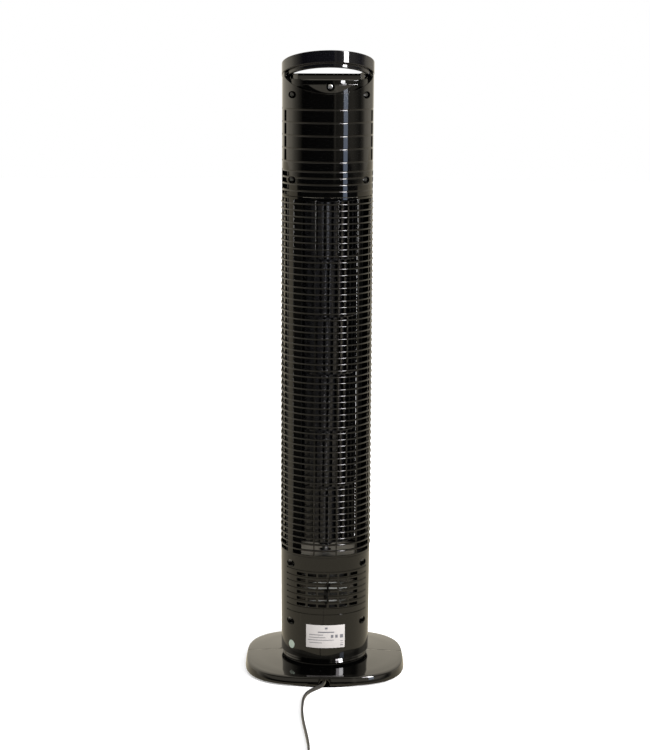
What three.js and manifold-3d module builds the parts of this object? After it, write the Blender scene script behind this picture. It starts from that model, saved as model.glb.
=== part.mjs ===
// Oscillating tower fan, built as the separate pieces that it comes apart into.
// Millimetres, +Z up. The origin is the middle of the base on the floor, and the intake side faces +Y.
// An azimuth is measured from +Y towards -X, in degrees.
import * as THREE from 'three';
import { mergeVertices } from 'three/addons/utils/BufferGeometryUtils.js';
import Module from 'manifold-3d';

const wasm = await Module();
wasm.setup();

// ---- driving dimensions ----
const GAP = 0.3;                     // free space between pieces that touch
const BASE_WIDTH = 206;              // the base is as deep as it is wide
const BASE_SQUARENESS = 2.9;         // exponent of the outline: 2 is a circle
const BASE_TOP_SQUARENESS = 2.2;     // the same inside the rim
const FOOT_HEIGHT = 2.2;
const BASE_TOP = 15.6;
const SHELL_R = 57.2;                // column covers, outside
const FOOT_R = 56.4;                 // the covers taper to this at the floor plate
const WALL = 2.2;
const RIB_R = 58.2;                  // grille bars stand proud of the covers
const COLUMN_FOOT = 22;
const GRILLE_FOOT = 156;
const GRILLE_HEAD = 613;
const TOP_BAR_Z = 604.8;
const BAR_PITCH = 32;                // every fourth bar of the moulded grille
const BAR_COUNT = 14;
const BAR_HEIGHT = 2;
const BAR_STEPS = 10;
const BAR_INNER_R = 55.4;
const BAND_HEIGHT = 2.4;             // end bands of the grilles
const HOOP_R = 57.7;
const HOOP_BORE_R = 50.1;
const HOOP_LIP_R = 53.4;
const HOOP_SLOPE = Math.tan(THREE.MathUtils.degToRad(16.1));
const HOOP_DIP = 5.2;                // how far its front half sags below that slope
const HOOP_TOP_Z = 776.4;            // on the column axis; the hoop rises towards +Y
const HOOP_FACE_Z = 761.6;           // lower edge of the hoop's face, on the axis
const HOOP_LIP_Z = 756.9;            // lower edge of its inner lip, on the axis
const SEAM = 89.7;                   // azimuth where the front and rear covers end
const REST_SWING = 3.5;              // how far the tower stands turned on its base
const IMPELLER_R = 37.5;
const IMPELLER_FOOT = 171.5;
const IMPELLER_STAGE = 72.6;
const IMPELLER_STAGES = 6;
const BLADE_COUNT = 12;
const HUB_R = 16;
const CABLE_BORE_R = 10;
const PANEL_BACK_Y = 31;             // straight rear edge of the control panel
const PANEL_BACK_Z = 764.2;
const PANEL_LEAN = THREE.MathUtils.degToRad(3.7);
const CORD_TALL = 5.3;               // flat twin lead, standing on its edge
const CORD_THIN = 3.8;
const COIL_CENTRE = [-18, 405];
const COIL_OUTER_R = 40.6;
const COIL_INNER_R = 19;
const COIL_HEIGHT = 10.8;

// ---- materials ----
function finish(color, roughness, metalness = 0) {
  return new THREE.MeshStandardMaterial({ color, roughness, metalness });
}

const glossBlack = finish(0x0b0b0c, 0.12);
const satinBlack = finish(0x141414, 0.45);
const rubber = finish(0x1a1a1a, 0.85);
const steel = finish(0x9a9da0, 0.35, 1);
const zinc = finish(0xb9bec4, 0.3, 1);
const copper = finish(0xa9602f, 0.4, 1);
const board = finish(0x1f5a33, 0.5);
const nylon = finish(0xd9d6cc, 0.5);
const lens = finish(0x2a1010, 0.1);

// ---- basic solids ----
function dropFlatTriangles(index) {
  const kept = [];
  for (let i = 0; i < index.length; i += 3) {
    const [a, b, c] = [index[i], index[i + 1], index[i + 2]];
    if (a !== b && b !== c && a !== c) {
      kept.push(a, b, c);
    }
  }
  return Uint32Array.from(kept);
}

function solid(geometry) {
  const bare = geometry.clone();
  bare.deleteAttribute('normal');
  bare.deleteAttribute('uv');
  const merged = mergeVertices(bare, 1e-4);
  return new wasm.Manifold(new wasm.Mesh({
    numProp: 3,
    vertProperties: merged.attributes.position.array,
    triVerts: dropFlatTriangles(merged.index.array),
  }));
}

function polar(radius, azimuth) {
  const angle = THREE.MathUtils.degToRad(azimuth);
  return [-radius * Math.sin(angle), radius * Math.cos(angle)];
}

function extrude(points, low, high) {
  const shape = new THREE.Shape(points.map(([x, y]) => new THREE.Vector2(x, y)));
  const geometry = new THREE.ExtrudeGeometry(shape, { depth: high - low, bevelEnabled: false });
  return geometry.translate(0, 0, low);
}

function prism(points, low, high) {
  return solid(extrude(points, low, high));
}

// An outline in the Y-Z plane, pulled out to both sides of the column's middle.
function sideProfile(points, halfWidth) {
  const geometry = extrude(points, -halfWidth, halfWidth);
  geometry.rotateY(Math.PI / 2);
  geometry.rotateX(Math.PI / 2);
  return solid(geometry);
}

function circle(radius, segments = 24, x = 0, y = 0) {
  return Array.from({ length: segments }, (_, i) => {
    const [px, py] = polar(radius, (i * 360) / segments);
    return [x + px, y + py];
  });
}

function disc(radius, low, high, segments = 24, x = 0, y = 0) {
  return prism(circle(radius, segments, x, y), low, high);
}

// A round bar from front to rear.
function rearBar(radius, front, rear, z, segments = 16) {
  const geometry = extrude(circle(radius, segments), front, rear);
  geometry.rotateX(-Math.PI / 2);
  geometry.translate(0, 0, z);
  return solid(geometry);
}

function ring(outer, inner, low, high, segments = 24, x = 0, y = 0) {
  return disc(outer, low, high, segments, x, y).subtract(disc(inner, low - 1, high + 1, segments, x, y));
}

function box(x0, x1, y0, y1, z0, z1) {
  return prism([[x0, y0], [x1, y0], [x1, y1], [x0, y1]], z0, z1);
}

function arc(radius, from, to, steps) {
  return Array.from({ length: steps + 1 }, (_, i) => polar(radius, from + ((to - from) * i) / steps));
}

function sectorGeometry(inner, outer, low, high, from, to, steps) {
  return extrude([...arc(outer, from, to, steps), ...arc(inner, to, from, steps)], low, high);
}

function sector(inner, outer, low, high, from, to, steps) {
  return solid(sectorGeometry(inner, outer, low, high, from, to, steps));
}

// A block pointing outwards at an azimuth, to cut a slot through a cover.
function radialBlock(azimuth, width, low, high) {
  const geometry = extrude([[-width / 2, 40], [width / 2, 40], [width / 2, 70], [-width / 2, 70]], low, high);
  geometry.rotateZ(THREE.MathUtils.degToRad(azimuth));
  return solid(geometry);
}

// How much higher than on the axis the hoop is at a depth: an even slope that sags in front of the axis.
function climb(y) {
  const sag = y < 0 ? HOOP_DIP * Math.sin((Math.PI * y) / HOOP_R) ** 2 : 0;
  return y * HOOP_SLOPE - sag;
}

function lean(geometry) {
  const position = geometry.attributes.position;
  for (let i = 0; i < position.count; i += 1) {
    position.setZ(i, position.getZ(i) + climb(position.getY(i)));
  }
  return geometry;
}

function revolve(profile, segments) {
  const geometry = new THREE.LatheGeometry(profile.map(([r, z]) => new THREE.Vector2(r, z)), segments);
  return geometry.rotateX(Math.PI / 2);
}

function union(first, ...others) {
  return others.reduce((whole, piece) => whole.add(piece), first);
}

function cut(first, ...others) {
  return others.reduce((whole, piece) => whole.subtract(piece), first);
}

function place(group, name, piece, material) {
  const mesh = piece.getMesh();
  const geometry = new THREE.BufferGeometry();
  geometry.setAttribute('position', new THREE.BufferAttribute(mesh.vertProperties, mesh.numProp));
  geometry.setIndex(new THREE.BufferAttribute(mesh.triVerts, 1));
  geometry.computeVertexNormals();
  const node = new THREE.Mesh(geometry, material);
  node.name = name;
  group.add(node);
}

const fan = new THREE.Group();
const tower = new THREE.Group();
tower.rotation.z = THREE.MathUtils.degToRad(REST_SWING);
fan.add(tower);

// ---- base ----
function baseOutline(inset, squareness, count) {
  const half = BASE_WIDTH / 2 - inset;
  const power = 2 / squareness;
  return Array.from({ length: count }, (_, i) => {
    const angle = (i * 2 * Math.PI) / count;
    const x = half * Math.sign(Math.cos(angle)) * Math.abs(Math.cos(angle)) ** power;
    const y = half * Math.sign(Math.sin(angle)) * Math.abs(Math.sin(angle)) ** power;
    return [x, y];
  });
}

// Joins outlines of one point count, each at its own inset and height, and closes both ends.
function stackOutlines(levels, count) {
  const positions = [];
  const index = [];
  levels.forEach(([inset, z, squareness]) => {
    baseOutline(inset, squareness, count).forEach(([x, y]) => positions.push(x, y, z));
  });
  levels.slice(1).forEach((_, level) => {
    for (let i = 0; i < count; i += 1) {
      const a = level * count + i;
      const b = level * count + ((i + 1) % count);
      index.push(a, b, a + count, b, b + count, a + count);
    }
  });
  const low = positions.length / 3;
  positions.push(0, 0, levels[0][1], 0, 0, levels[levels.length - 1][1]);
  const top = (levels.length - 1) * count;
  for (let i = 0; i < count; i += 1) {
    const next = (i + 1) % count;
    index.push(low, next, i, low + 1, top + i, top + next);
  }
  const geometry = new THREE.BufferGeometry();
  geometry.setAttribute('position', new THREE.BufferAttribute(new Float32Array(positions), 3));
  geometry.setIndex(index);
  return solid(geometry);
}

const BASE_SPLIT_Y = -8;
const PAD_CENTRE = 72;
const PAD_R = 8;
const STUB_R = 19;

function baseShell() {
  const points = 36;
  const rim = BASE_SQUARENESS;
  const top = BASE_TOP_SQUARENESS;
  const outside = stackOutlines(
    [[1.4, FOOT_HEIGHT, rim], [0, 3.4, rim], [0.9, 8.5, rim], [2.2, 12.5, rim], [5.2, 13.6, top],
      [26, 14.6, top], [44, BASE_TOP, top]], points);
  const hollow = stackOutlines(
    [[5.2, 1, rim], [5.2, 9, rim], [8.4, 11, top], [28, 12, top], [46, 13, top]], points);
  const stubHole = disc(STUB_R + GAP, 0, 20);
  const notchHalf = 6.8;
  const notch = box(-notchHalf, notchHalf, 85, 110, 0, 10.6);
  let shell = cut(outside, hollow, stubHole, notch);
  for (const x of [-PAD_CENTRE, PAD_CENTRE]) {
    for (const y of [-PAD_CENTRE, PAD_CENTRE]) {
      shell = shell.add(disc(PAD_R + 1, FOOT_HEIGHT + GAP, 11.5, 10, x, y));
    }
  }
  return shell;
}

function makeBase() {
  const shell = baseShell();
  const far = BASE_WIDTH;
  place(fan, 'base_front', cut(shell, box(-far, far, BASE_SPLIT_Y - GAP / 2, far, -9, 99)), glossBlack);
  place(fan, 'base_rear', cut(shell, box(-far, far, -far, BASE_SPLIT_Y + GAP / 2, -9, 99)), glossBlack);
  let number = 1;
  for (const x of [-PAD_CENTRE, PAD_CENTRE]) {
    for (const y of [-PAD_CENTRE, PAD_CENTRE]) {
      place(fan, `foot_pad_${number}`, disc(PAD_R, 0, FOOT_HEIGHT, 12, x, y), rubber);
      number += 1;
    }
  }
}

const PLATE_TOP = 18.4;
const SLIP_RING_TOP = 21.7;
const HUB_TOP = 28;
const RETAINER_TOP = 30.8;
const LINK_PIVOT = [20, 0];

function makePedestal() {
  const plate = ring(53.5, CABLE_BORE_R, BASE_TOP + GAP, PLATE_TOP, 32);
  const hub = ring(HUB_R, CABLE_BORE_R, PLATE_TOP - 1, HUB_TOP);
  const stub = ring(STUB_R, CABLE_BORE_R, 3.4, BASE_TOP + 1);
  place(fan, 'pedestal', union(plate, hub, stub), satinBlack);

  const nut = ring(30, STUB_R + GAP, 5, 11.9);
  const grips = [0, 60, 120, 180, 240, 300].map((azimuth) => {
    const [x, y] = polar(30, azimuth);
    return disc(3.4, 5, 11.9, 6, x, y);
  });
  place(fan, 'lock_nut', union(nut, ...grips), satinBlack);
  place(fan, 'turntable_ring', ring(54.4, 47, PLATE_TOP + GAP, SLIP_RING_TOP, 32), satinBlack);

  const retainer = ring(24, CABLE_BORE_R, HUB_TOP + GAP, RETAINER_TOP);
  const pivotPin = disc(2.5, RETAINER_TOP - 1, 34.6, 12, ...LINK_PIVOT);
  place(fan, 'pivot_retainer', retainer.add(pivotPin), steel);
}

// ---- mains lead ----
// Where the lead runs from the strain relief to the coil, as [x, y, z] of its middle.
const CORD_ROUTE = [
  [0, 86.3, 4.4], [0.3, 94, 4.2], [2.6, 101.5, 3.4], [7.3, 108.6, 2.8], [13.2, 116.2, 2.7],
  [18.6, 125, 2.7], [22.6, 135, 2.7], [25, 146.5, 2.7], [26.3, 158, 2.7], [27, 176, 2.7],
  [27, 200, 2.7], [25.6, 228, 2.7], [23, 258, 2.7], [20, 290, 2.7], [18, 320, 2.7],
  [18, 350, 2.7], [19.2, 372, 2.7], [19.8, 386, 2.7],
];
// From the coil to the plug.
const TAIL_ROUTE = [[-37.8, 443, 8.1], [-43, 442.9, 7.6], [-49, 442.6, 7], [-55, 442.4, 6.85]];

function lead(route, steps) {
  const half = [CORD_TALL / 2, CORD_THIN / 2];
  const sides = 8;
  const section = Array.from({ length: sides }, (_, i) => {
    const angle = ((i + 0.5) * 2 * Math.PI) / sides;
    return new THREE.Vector2(half[0] * Math.cos(angle), half[1] * Math.sin(angle));
  });
  const path = new THREE.CatmullRomCurve3(route.map((point) => new THREE.Vector3(...point)));
  return solid(new THREE.ExtrudeGeometry(new THREE.Shape(section), { steps, extrudePath: path }));
}

function makeLead() {
  const relief = revolve([[0, 58], [4.3, 58], [4.3, 64], [3.4, 86], [0, 86]], 12);
  relief.rotateX(-Math.PI / 2);
  relief.translate(0, 0, 4.4);
  place(fan, 'strain_relief', solid(relief), rubber);
  place(fan, 'power_cord', lead(CORD_ROUTE, 30), rubber);
  place(fan, 'cord_tail', lead(TAIL_ROUTE, 3), rubber);
  const coil = revolve([
    [COIL_INNER_R, 0.1], [COIL_OUTER_R, 0.1], [COIL_OUTER_R, COIL_HEIGHT], [COIL_INNER_R, COIL_HEIGHT],
    [COIL_INNER_R, 0.1]], 32);
  coil.translate(...COIL_CENTRE, 0);
  place(fan, 'cord_coil', solid(coil), rubber);

  const plugY = 442.4;
  const plugBack = -55.3;
  const plugFace = -91.3;
  const outline = [[plugBack, 5.5], [plugBack - 9, 7], [-74, 17.6], [plugFace, 17.6]];
  const mirrored = outline.map(([x, y]) => [x, -y]).reverse();
  const body = prism([...outline, ...mirrored].map(([x, y]) => [x, plugY + y]), 0.1, 13.8);
  place(fan, 'plug', body, satinBlack);
  [-9.3, 9.3].forEach((offset, i) => {
    const pin = new THREE.CylinderGeometry(2, 2, 19, 12);
    pin.rotateZ(Math.PI / 2);
    pin.translate(plugFace - GAP - 9.5, plugY + offset, 6.95);
    place(fan, `plug_pin_${i + 1}`, solid(pin), zinc);
  });
}

// ---- column covers ----
const FAR = 70;                       // beyond every cover
const SKY = 830;                      // above every cover

function underHoop() {
  const steps = 28;
  const edge = Array.from({ length: steps + 1 }, (_, i) => {
    const y = -FAR + (2 * FAR * i) / steps;
    return [y, HOOP_FACE_Z - GAP + climb(y)];
  });
  return sideProfile([...edge, [FAR, SKY], [-FAR, SKY]], FAR);
}

const aboveHoopFace = underHoop();

function lowerCover(from, to) {
  const geometry = sectorGeometry(SHELL_R - WALL, SHELL_R, COLUMN_FOOT, GRILLE_FOOT - GAP, from, to, 16);
  const position = geometry.attributes.position;
  const shrink = FOOT_R / SHELL_R;
  for (let i = 0; i < position.count; i += 1) {
    if (position.getZ(i) < COLUMN_FOOT + 1) {
      position.setX(i, position.getX(i) * shrink);
      position.setY(i, position.getY(i) * shrink);
    }
  }
  return solid(geometry);
}

// Level bars on upright strips, between two end bands; walls are strips as well.
function grille(middle, strips) {
  const bars = [];
  for (let i = 0; i < BAR_COUNT; i += 1) {
    const low = TOP_BAR_Z - i * BAR_PITCH - BAR_HEIGHT / 2;
    bars.push(sector(BAR_INNER_R, RIB_R, low, low + BAR_HEIGHT, middle - SEAM, middle + SEAM, BAR_STEPS));
  }
  const inner = SHELL_R - WALL;
  for (const low of [GRILLE_FOOT, GRILLE_HEAD - BAND_HEIGHT]) {
    bars.push(sector(inner, SHELL_R, low, low + BAND_HEIGHT, middle - SEAM, middle + SEAM, BAR_STEPS));
  }
  const uprights = strips.map(([from, to]) => {
    const steps = Math.max(1, Math.round((to - from) / 18));
    return sector(inner, SHELL_R, GRILLE_FOOT, GRILLE_HEAD, middle + from, middle + to, steps);
  });
  return union(...bars, ...uprights);
}

const VENT_ROWS = [132.8, 124.8, 116.8, 108.8, 100.8, 92.8];
const VENT_COLUMNS = [-33.4, -19.9, -6.8, 6.8, 19.9, 33.4];
const VENT_WIDTH = 10.8;
const VENT_HEIGHT = 4;
const SIDE_SLOT_ROWS = [664.4, 680.4, 696.4, 712.4];
const SIDE_SLOT_AZIMUTH = 70.5;
const SIDE_SLOT_WIDTH = 6.9;
const SIDE_SLOT_HEIGHT = 13.6;
const REAR_STRIPS = [
  [-SEAM, -86.5], [-60.2, -50.3], [-19.3, -17.8], [10.1, 11.5], [39.3, 41], [69.5, 74.5], [86.5, SEAM]];
const SCREW_Z = 748.2;               // axis of the handle's screw, which is driven in from the rear
const SCREW_WELL_R = 5.2;
const SCREW_SEAT_Y = 44.6;

// The hand hole's sloping floor, with a ledge behind the panel and a well for the screw.
function makeScoop() {
  const floorEdge = [[45, 750.8], [56.8, 740.4]];
  const ledgeEdge = [[31.3, 757.4], [43.6, 757.4], [45, 756.2]];
  const floor = sideProfile([...ledgeEdge, ...floorEdge, [56.8, 737.4], [43, 748.8], [31.3, 748.8]], 60);
  const aroundPanel = disc(50.2, 700, 800, 48).subtract(box(-60, 60, 31.3, 60, 690, 810));
  const cheeks = cut(sideProfile([[15.2, 759.8], [33, 751.3], [33, 748.9], [15.2, 757.4]], 60), aroundPanel);
  const belowFloor = sideProfile([[40, 756.4], [45, 756], ...floorEdge, [56.6, 700], [40, 700]], 60);
  const boss = rearBar(SCREW_WELL_R + 1.4, 41, 54, SCREW_Z).intersect(belowFloor);
  const well = rearBar(SCREW_WELL_R, SCREW_SEAT_Y, FAR, SCREW_Z);
  const shankHole = rearBar(1.8, 30, SCREW_SEAT_Y + 1, SCREW_Z, 12);
  return cut(union(floor, cheeks, boss).intersect(disc(SHELL_R - 1, 700, 800, 32)), well, shankHole);
}

function makeRearCovers() {
  const vents = VENT_ROWS.flatMap((z) => VENT_COLUMNS.map((x) => {
    const [left, right] = [x - VENT_WIDTH / 2, x + VENT_WIDTH / 2];
    return box(left, right, 30, FAR, z - VENT_HEIGHT / 2, z + VENT_HEIGHT / 2);
  }));
  place(tower, 'rear_cover_lower', cut(lowerCover(-SEAM, SEAM), ...vents), glossBlack);
  place(tower, 'rear_grille', grille(0, REAR_STRIPS), glossBlack);

  // Everything above a sloping line is open up to the hoop.
  const opening = sideProfile([[15.2, 759.8], [FAR, 733.6], [FAR, SKY], [15.2, SKY]], FAR);
  const slots = SIDE_SLOT_ROWS.flatMap((z) => {
    const [low, high] = [z - SIDE_SLOT_HEIGHT / 2, z + SIDE_SLOT_HEIGHT / 2];
    return [-1, 1].map((side) => radialBlock(side * SIDE_SLOT_AZIMUTH, SIDE_SLOT_WIDTH, low, high));
  });
  const wall = sector(SHELL_R - WALL, SHELL_R, GRILLE_HEAD + GAP, 800, -SEAM, SEAM, 20);
  const shell = cut(wall, aboveHoopFace, opening, ...slots);
  place(tower, 'rear_cover_upper', shell.add(makeScoop()), glossBlack);

  const head = rearBar(3.1, SCREW_SEAT_Y + 0.1, SCREW_SEAT_Y + 2.5, SCREW_Z);
  const shank = rearBar(1.5, 34, SCREW_SEAT_Y + 1, SCREW_Z, 8);
  place(tower, 'handle_screw', head.add(shank), zinc);
}

function makeFrontCovers() {
  place(tower, 'front_cover_lower', lowerCover(180 - SEAM, 180 + SEAM), glossBlack);
  const wallEdge = SEAM * 0.6;
  const strips = [[-SEAM, -wallEdge], [-0.7, 0.7], [wallEdge, SEAM]];
  place(tower, 'front_grille', grille(180, strips), glossBlack);
  const upper = sector(SHELL_R - WALL, SHELL_R, GRILLE_HEAD + GAP, 800, 180 - SEAM, 180 + SEAM, 20);
  place(tower, 'front_cover_upper', upper.subtract(aboveHoopFace), glossBlack);
}

function makeHoop() {
  const profile = [
    [HOOP_BORE_R, HOOP_LIP_Z], [HOOP_LIP_R, HOOP_LIP_Z], [HOOP_LIP_R, HOOP_FACE_Z], [HOOP_R, HOOP_FACE_Z],
    [HOOP_R, HOOP_TOP_Z], [HOOP_BORE_R, HOOP_TOP_Z], [HOOP_BORE_R, HOOP_LIP_Z]];
  place(tower, 'top_hoop', solid(lean(revolve(profile, 40))), glossBlack);
}

// ---- control panel ----
const BUTTON_NAMES = ['button_speed', 'button_timer', 'button_power', 'button_mode', 'button_swing'];
const BUTTON_CIRCLE_R = 30;
const BUTTON_STEP = 30;
const BUTTON_R = 5.6;

// Brings a geometry from the panel's own plane (z = 0 on its face) into the tower.
function onPanel(geometry) {
  geometry.rotateX(PANEL_LEAN);
  return geometry.translate(0, PANEL_BACK_Y, PANEL_BACK_Z);
}

function buttonCentre(i) {
  const [x, y] = polar(BUTTON_CIRCLE_R, 180 + (i - 2) * BUTTON_STEP);
  return [x, y - PANEL_BACK_Y];
}

function straightBacked(radius, backY) {
  const half = THREE.MathUtils.radToDeg(Math.acos(backY / radius));
  return arc(radius, half, 360 - half, 28);
}

function makePanel() {
  const slab = 200;
  const underFace = solid(onPanel(new THREE.BoxGeometry(slab, slab, slab).translate(0, 0, -slab / 2)));
  const underPlate = solid(onPanel(new THREE.BoxGeometry(slab, slab, slab).translate(0, 0, -slab / 2 - 2.4)));
  const outside = prism(straightBacked(HOOP_BORE_R - GAP, PANEL_BACK_Y), 742, 780).intersect(underFace);
  const inside = prism(straightBacked(47.8, PANEL_BACK_Y - 2), 741, 780).intersect(underPlate);
  const holes = BUTTON_NAMES.map((_, i) => {
    const [x, y] = buttonCentre(i);
    return solid(onPanel(extrude(circle(BUTTON_R + 0.35, 12, x, y), -10, 10)));
  });
  const lensHole = solid(onPanel(extrude([[-13, -40], [13, -40], [13, -35], [-13, -35]], -10, 10)));
  place(tower, 'control_panel', cut(outside, inside, lensHole, ...holes), glossBlack);
  const lensOutline = [[-12.7, -39.7], [12.7, -39.7], [12.7, -35.3], [-12.7, -35.3]];
  const lensBody = onPanel(extrude(lensOutline, -2.4, 0.1));
  place(tower, 'indicator_lens', solid(lensBody), lens);
  const boardBody = onPanel(extrude([[-24, -68], [24, -68], [24, -22], [-24, -22]], -10.6, -9));
  place(tower, 'control_board', solid(boardBody), board);
  BUTTON_NAMES.forEach((name, i) => {
    const [x, y] = buttonCentre(i);
    const cap = solid(onPanel(extrude(circle(BUTTON_R, 12, x, y), -3.4, 0.8)));
    const flange = solid(onPanel(extrude(circle(BUTTON_R + 1.5, 12, x, y), -4, -2.8)));
    const stem = solid(onPanel(extrude(circle(2, 6, x, y), -7.4, -3.5)));
    place(tower, name, union(cap, flange, stem), satinBlack);
  });
}

// ---- inside the column ----
const CABLE_AT = polar(50.5, -75);
const BULKHEAD_R = 53.4;

// A curved sheet whose radius grows evenly from one azimuth to another.
function scroll(startR, endR, from, to, low, high) {
  const steps = 8;
  const thickness = 1.6;
  const at = (i, extra) => {
    const share = i / steps;
    return polar(startR + (endR - startR) * share + extra, from + (to - from) * share);
  };
  const near = Array.from({ length: steps + 1 }, (_, i) => at(i, 0));
  const far = Array.from({ length: steps + 1 }, (_, i) => at(steps - i, thickness));
  return prism([...near, ...far], low, high);
}

function makeDuct() {
  const cableHole = disc(3, 0, 800, 10, ...CABLE_AT);
  const motorPlate = cut(disc(BULKHEAD_R, 150, 153), disc(8, 140, 160, 16), cableHole);
  const postPlaces = [[-29, -29], [-29, 29], [29, -29], [29, 29]];
  const posts = postPlaces.map(([x, y]) => disc(3.5, 122.6, 151, 10, x, y));
  place(tower, 'lower_bulkhead', union(motorPlate, ...posts), satinBlack);
  const bearingPlate = cut(disc(BULKHEAD_R, 614, 617), disc(14.4, 600, 630, 16), cableHole);
  place(tower, 'upper_bulkhead', bearingPlate, satinBlack);
  place(tower, 'bearing_holder', ring(14.1, 8.3, 612.6, 618.4, 16), rubber);
  place(tower, 'upper_bush', ring(8, 3.8, 612.6, 618.4, 16), copper);
  place(tower, 'volute_wall', scroll(42, 51.6, -50, -128, 153.3, 613.7), satinBlack);
  place(tower, 'duct_tongue', scroll(40.5, 51.6, 78, 128, 153.3, 613.7), satinBlack);
  place(tower, 'control_cable', disc(2.2, 128, 738, 8, ...CABLE_AT), rubber);
}

function makeMotor() {
  const half = 36;
  const stack = box(-half, half, -half, half, 92, 122).intersect(disc(47, 91, 123));
  place(tower, 'motor_laminations', cut(stack, disc(20.2, 90, 124)), steel);
  place(tower, 'motor_winding_top', ring(32, 22, 122.3, 130), copper);
  place(tower, 'motor_winding_bottom', ring(32, 22, 84, 91.7), copper);
  const wall = 2;
  const topCover = cut(disc(35, 122.3, 134), disc(35 - wall, 122, 134 - wall), disc(6, 120, 140, 16));
  place(tower, 'motor_cover_top', topCover, zinc);
  const bottomCover = cut(disc(35, 80, 91.7), disc(35 - wall, 80 + wall, 92), disc(6, 70, 90, 16));
  place(tower, 'motor_cover_bottom', bottomCover, zinc);
  place(tower, 'run_capacitor', box(-14, 14, -50, -37.5, 92, 120), satinBlack);
}

const SWING_MOTOR_AT = [0, -24];

function makeSwingDrive() {
  const floorR = FOOT_R - WALL - 0.6;
  place(tower, 'column_floor', ring(floorR, HUB_R + 0.4, COLUMN_FOOT, 24.6, 32), satinBlack);
  place(tower, 'thrust_washer', ring(23, HUB_R + 0.4, 24.9, HUB_TOP), nylon);
  place(tower, 'swing_motor', disc(24, 42, 58, 24, ...SWING_MOTOR_AT), zinc);
  const beam = disc(floorR, 58.3, 60.3, 32).intersect(box(-60, 60, -60, 6, 50, 70));
  place(tower, 'swing_motor_beam', beam, satinBlack);
  const crankPinAt = [6.9, -29.8];
  const crank = union(
    disc(12, 36.5, 39, 24, ...SWING_MOTOR_AT), disc(3, 38, 41.7, 12, ...SWING_MOTOR_AT),
    disc(2, 33.3, 37, 10, ...crankPinAt));
  place(tower, 'swing_crank', crank, nylon);

  // The link turns on the fixed pivot pin; its other eye lies just under the crank's pin.
  const low = 31.2;
  const high = 33;
  const turned = new THREE.Vector2(...crankPinAt).rotateAround(new THREE.Vector2(), tower.rotation.z);
  const reach = turned.clone().sub(new THREE.Vector2(...LINK_PIVOT));
  const side = new THREE.Vector2(-reach.y, reach.x).setLength(3.2);
  const corners = [[0, 1], [0, -1], [1, -1], [1, 1]].map(([along, across]) => {
    const x = LINK_PIVOT[0] + reach.x * along + side.x * across;
    const y = LINK_PIVOT[1] + reach.y * along + side.y * across;
    return [x, y];
  });
  const bar = prism(corners, low, high);
  const eyes = [disc(5.5, low, high, 16, ...LINK_PIVOT), disc(5.5, low, high, 16, turned.x, turned.y)];
  const pivotHole = disc(2.8, low - 1, high + 1, 12, ...LINK_PIVOT);
  place(fan, 'swing_link', cut(union(bar, ...eyes), pivotHole), steel);
}

function makeImpeller() {
  const head = IMPELLER_FOOT + IMPELLER_STAGE * IMPELLER_STAGES;
  const plates = Array.from({ length: IMPELLER_STAGES + 1 }, (_, i) => {
    const z = IMPELLER_FOOT + i * IMPELLER_STAGE;
    return disc(IMPELLER_R, z - 1, z + 1, 24);
  });
  const blades = Array.from({ length: BLADE_COUNT }, (_, i) => {
    const section = [[-4, -0.6], [4, -0.6], [4, 0.6], [-4, 0.6]];
    const geometry = extrude(section, IMPELLER_FOOT - 0.5, head + 0.5);
    geometry.rotateZ(Math.PI / 3);
    geometry.translate(0, IMPELLER_R - 4.6, 0);
    geometry.rotateZ((i * 2 * Math.PI) / BLADE_COUNT);
    return solid(geometry);
  });
  const hub = ring(9, 4.3, 161, IMPELLER_FOOT - 0.5, 20);
  const topPin = disc(3.5, head, 621, 16);
  place(tower, 'impeller', union(...plates, ...blades, hub, topPin), satinBlack);
  place(tower, 'impeller_shaft', disc(4, 74, IMPELLER_FOOT - 1.3, 16), steel);
  place(tower, 'motor_rotor', ring(19.6, 4.3, 92.5, 121.5, 24), steel);
}

makeBase();
makePedestal();
makeLead();
makeRearCovers();
makeFrontCovers();
makeHoop();
makePanel();
makeDuct();
makeMotor();
makeSwingDrive();
makeImpeller();

export default fan;
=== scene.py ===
import math

import bpy
from mathutils import Matrix, Vector


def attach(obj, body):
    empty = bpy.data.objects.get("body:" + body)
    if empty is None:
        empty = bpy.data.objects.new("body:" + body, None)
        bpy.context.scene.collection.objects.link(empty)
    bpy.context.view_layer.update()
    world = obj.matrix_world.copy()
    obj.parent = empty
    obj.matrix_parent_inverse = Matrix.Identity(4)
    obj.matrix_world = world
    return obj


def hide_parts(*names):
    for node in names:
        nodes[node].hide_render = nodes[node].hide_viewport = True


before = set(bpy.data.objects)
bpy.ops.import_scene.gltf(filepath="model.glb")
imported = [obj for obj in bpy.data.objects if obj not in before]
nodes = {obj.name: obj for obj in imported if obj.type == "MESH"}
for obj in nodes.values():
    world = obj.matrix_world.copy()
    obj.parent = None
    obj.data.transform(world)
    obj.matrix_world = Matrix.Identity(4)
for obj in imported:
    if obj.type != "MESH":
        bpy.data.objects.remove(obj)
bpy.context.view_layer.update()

MM = 0.001

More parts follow.
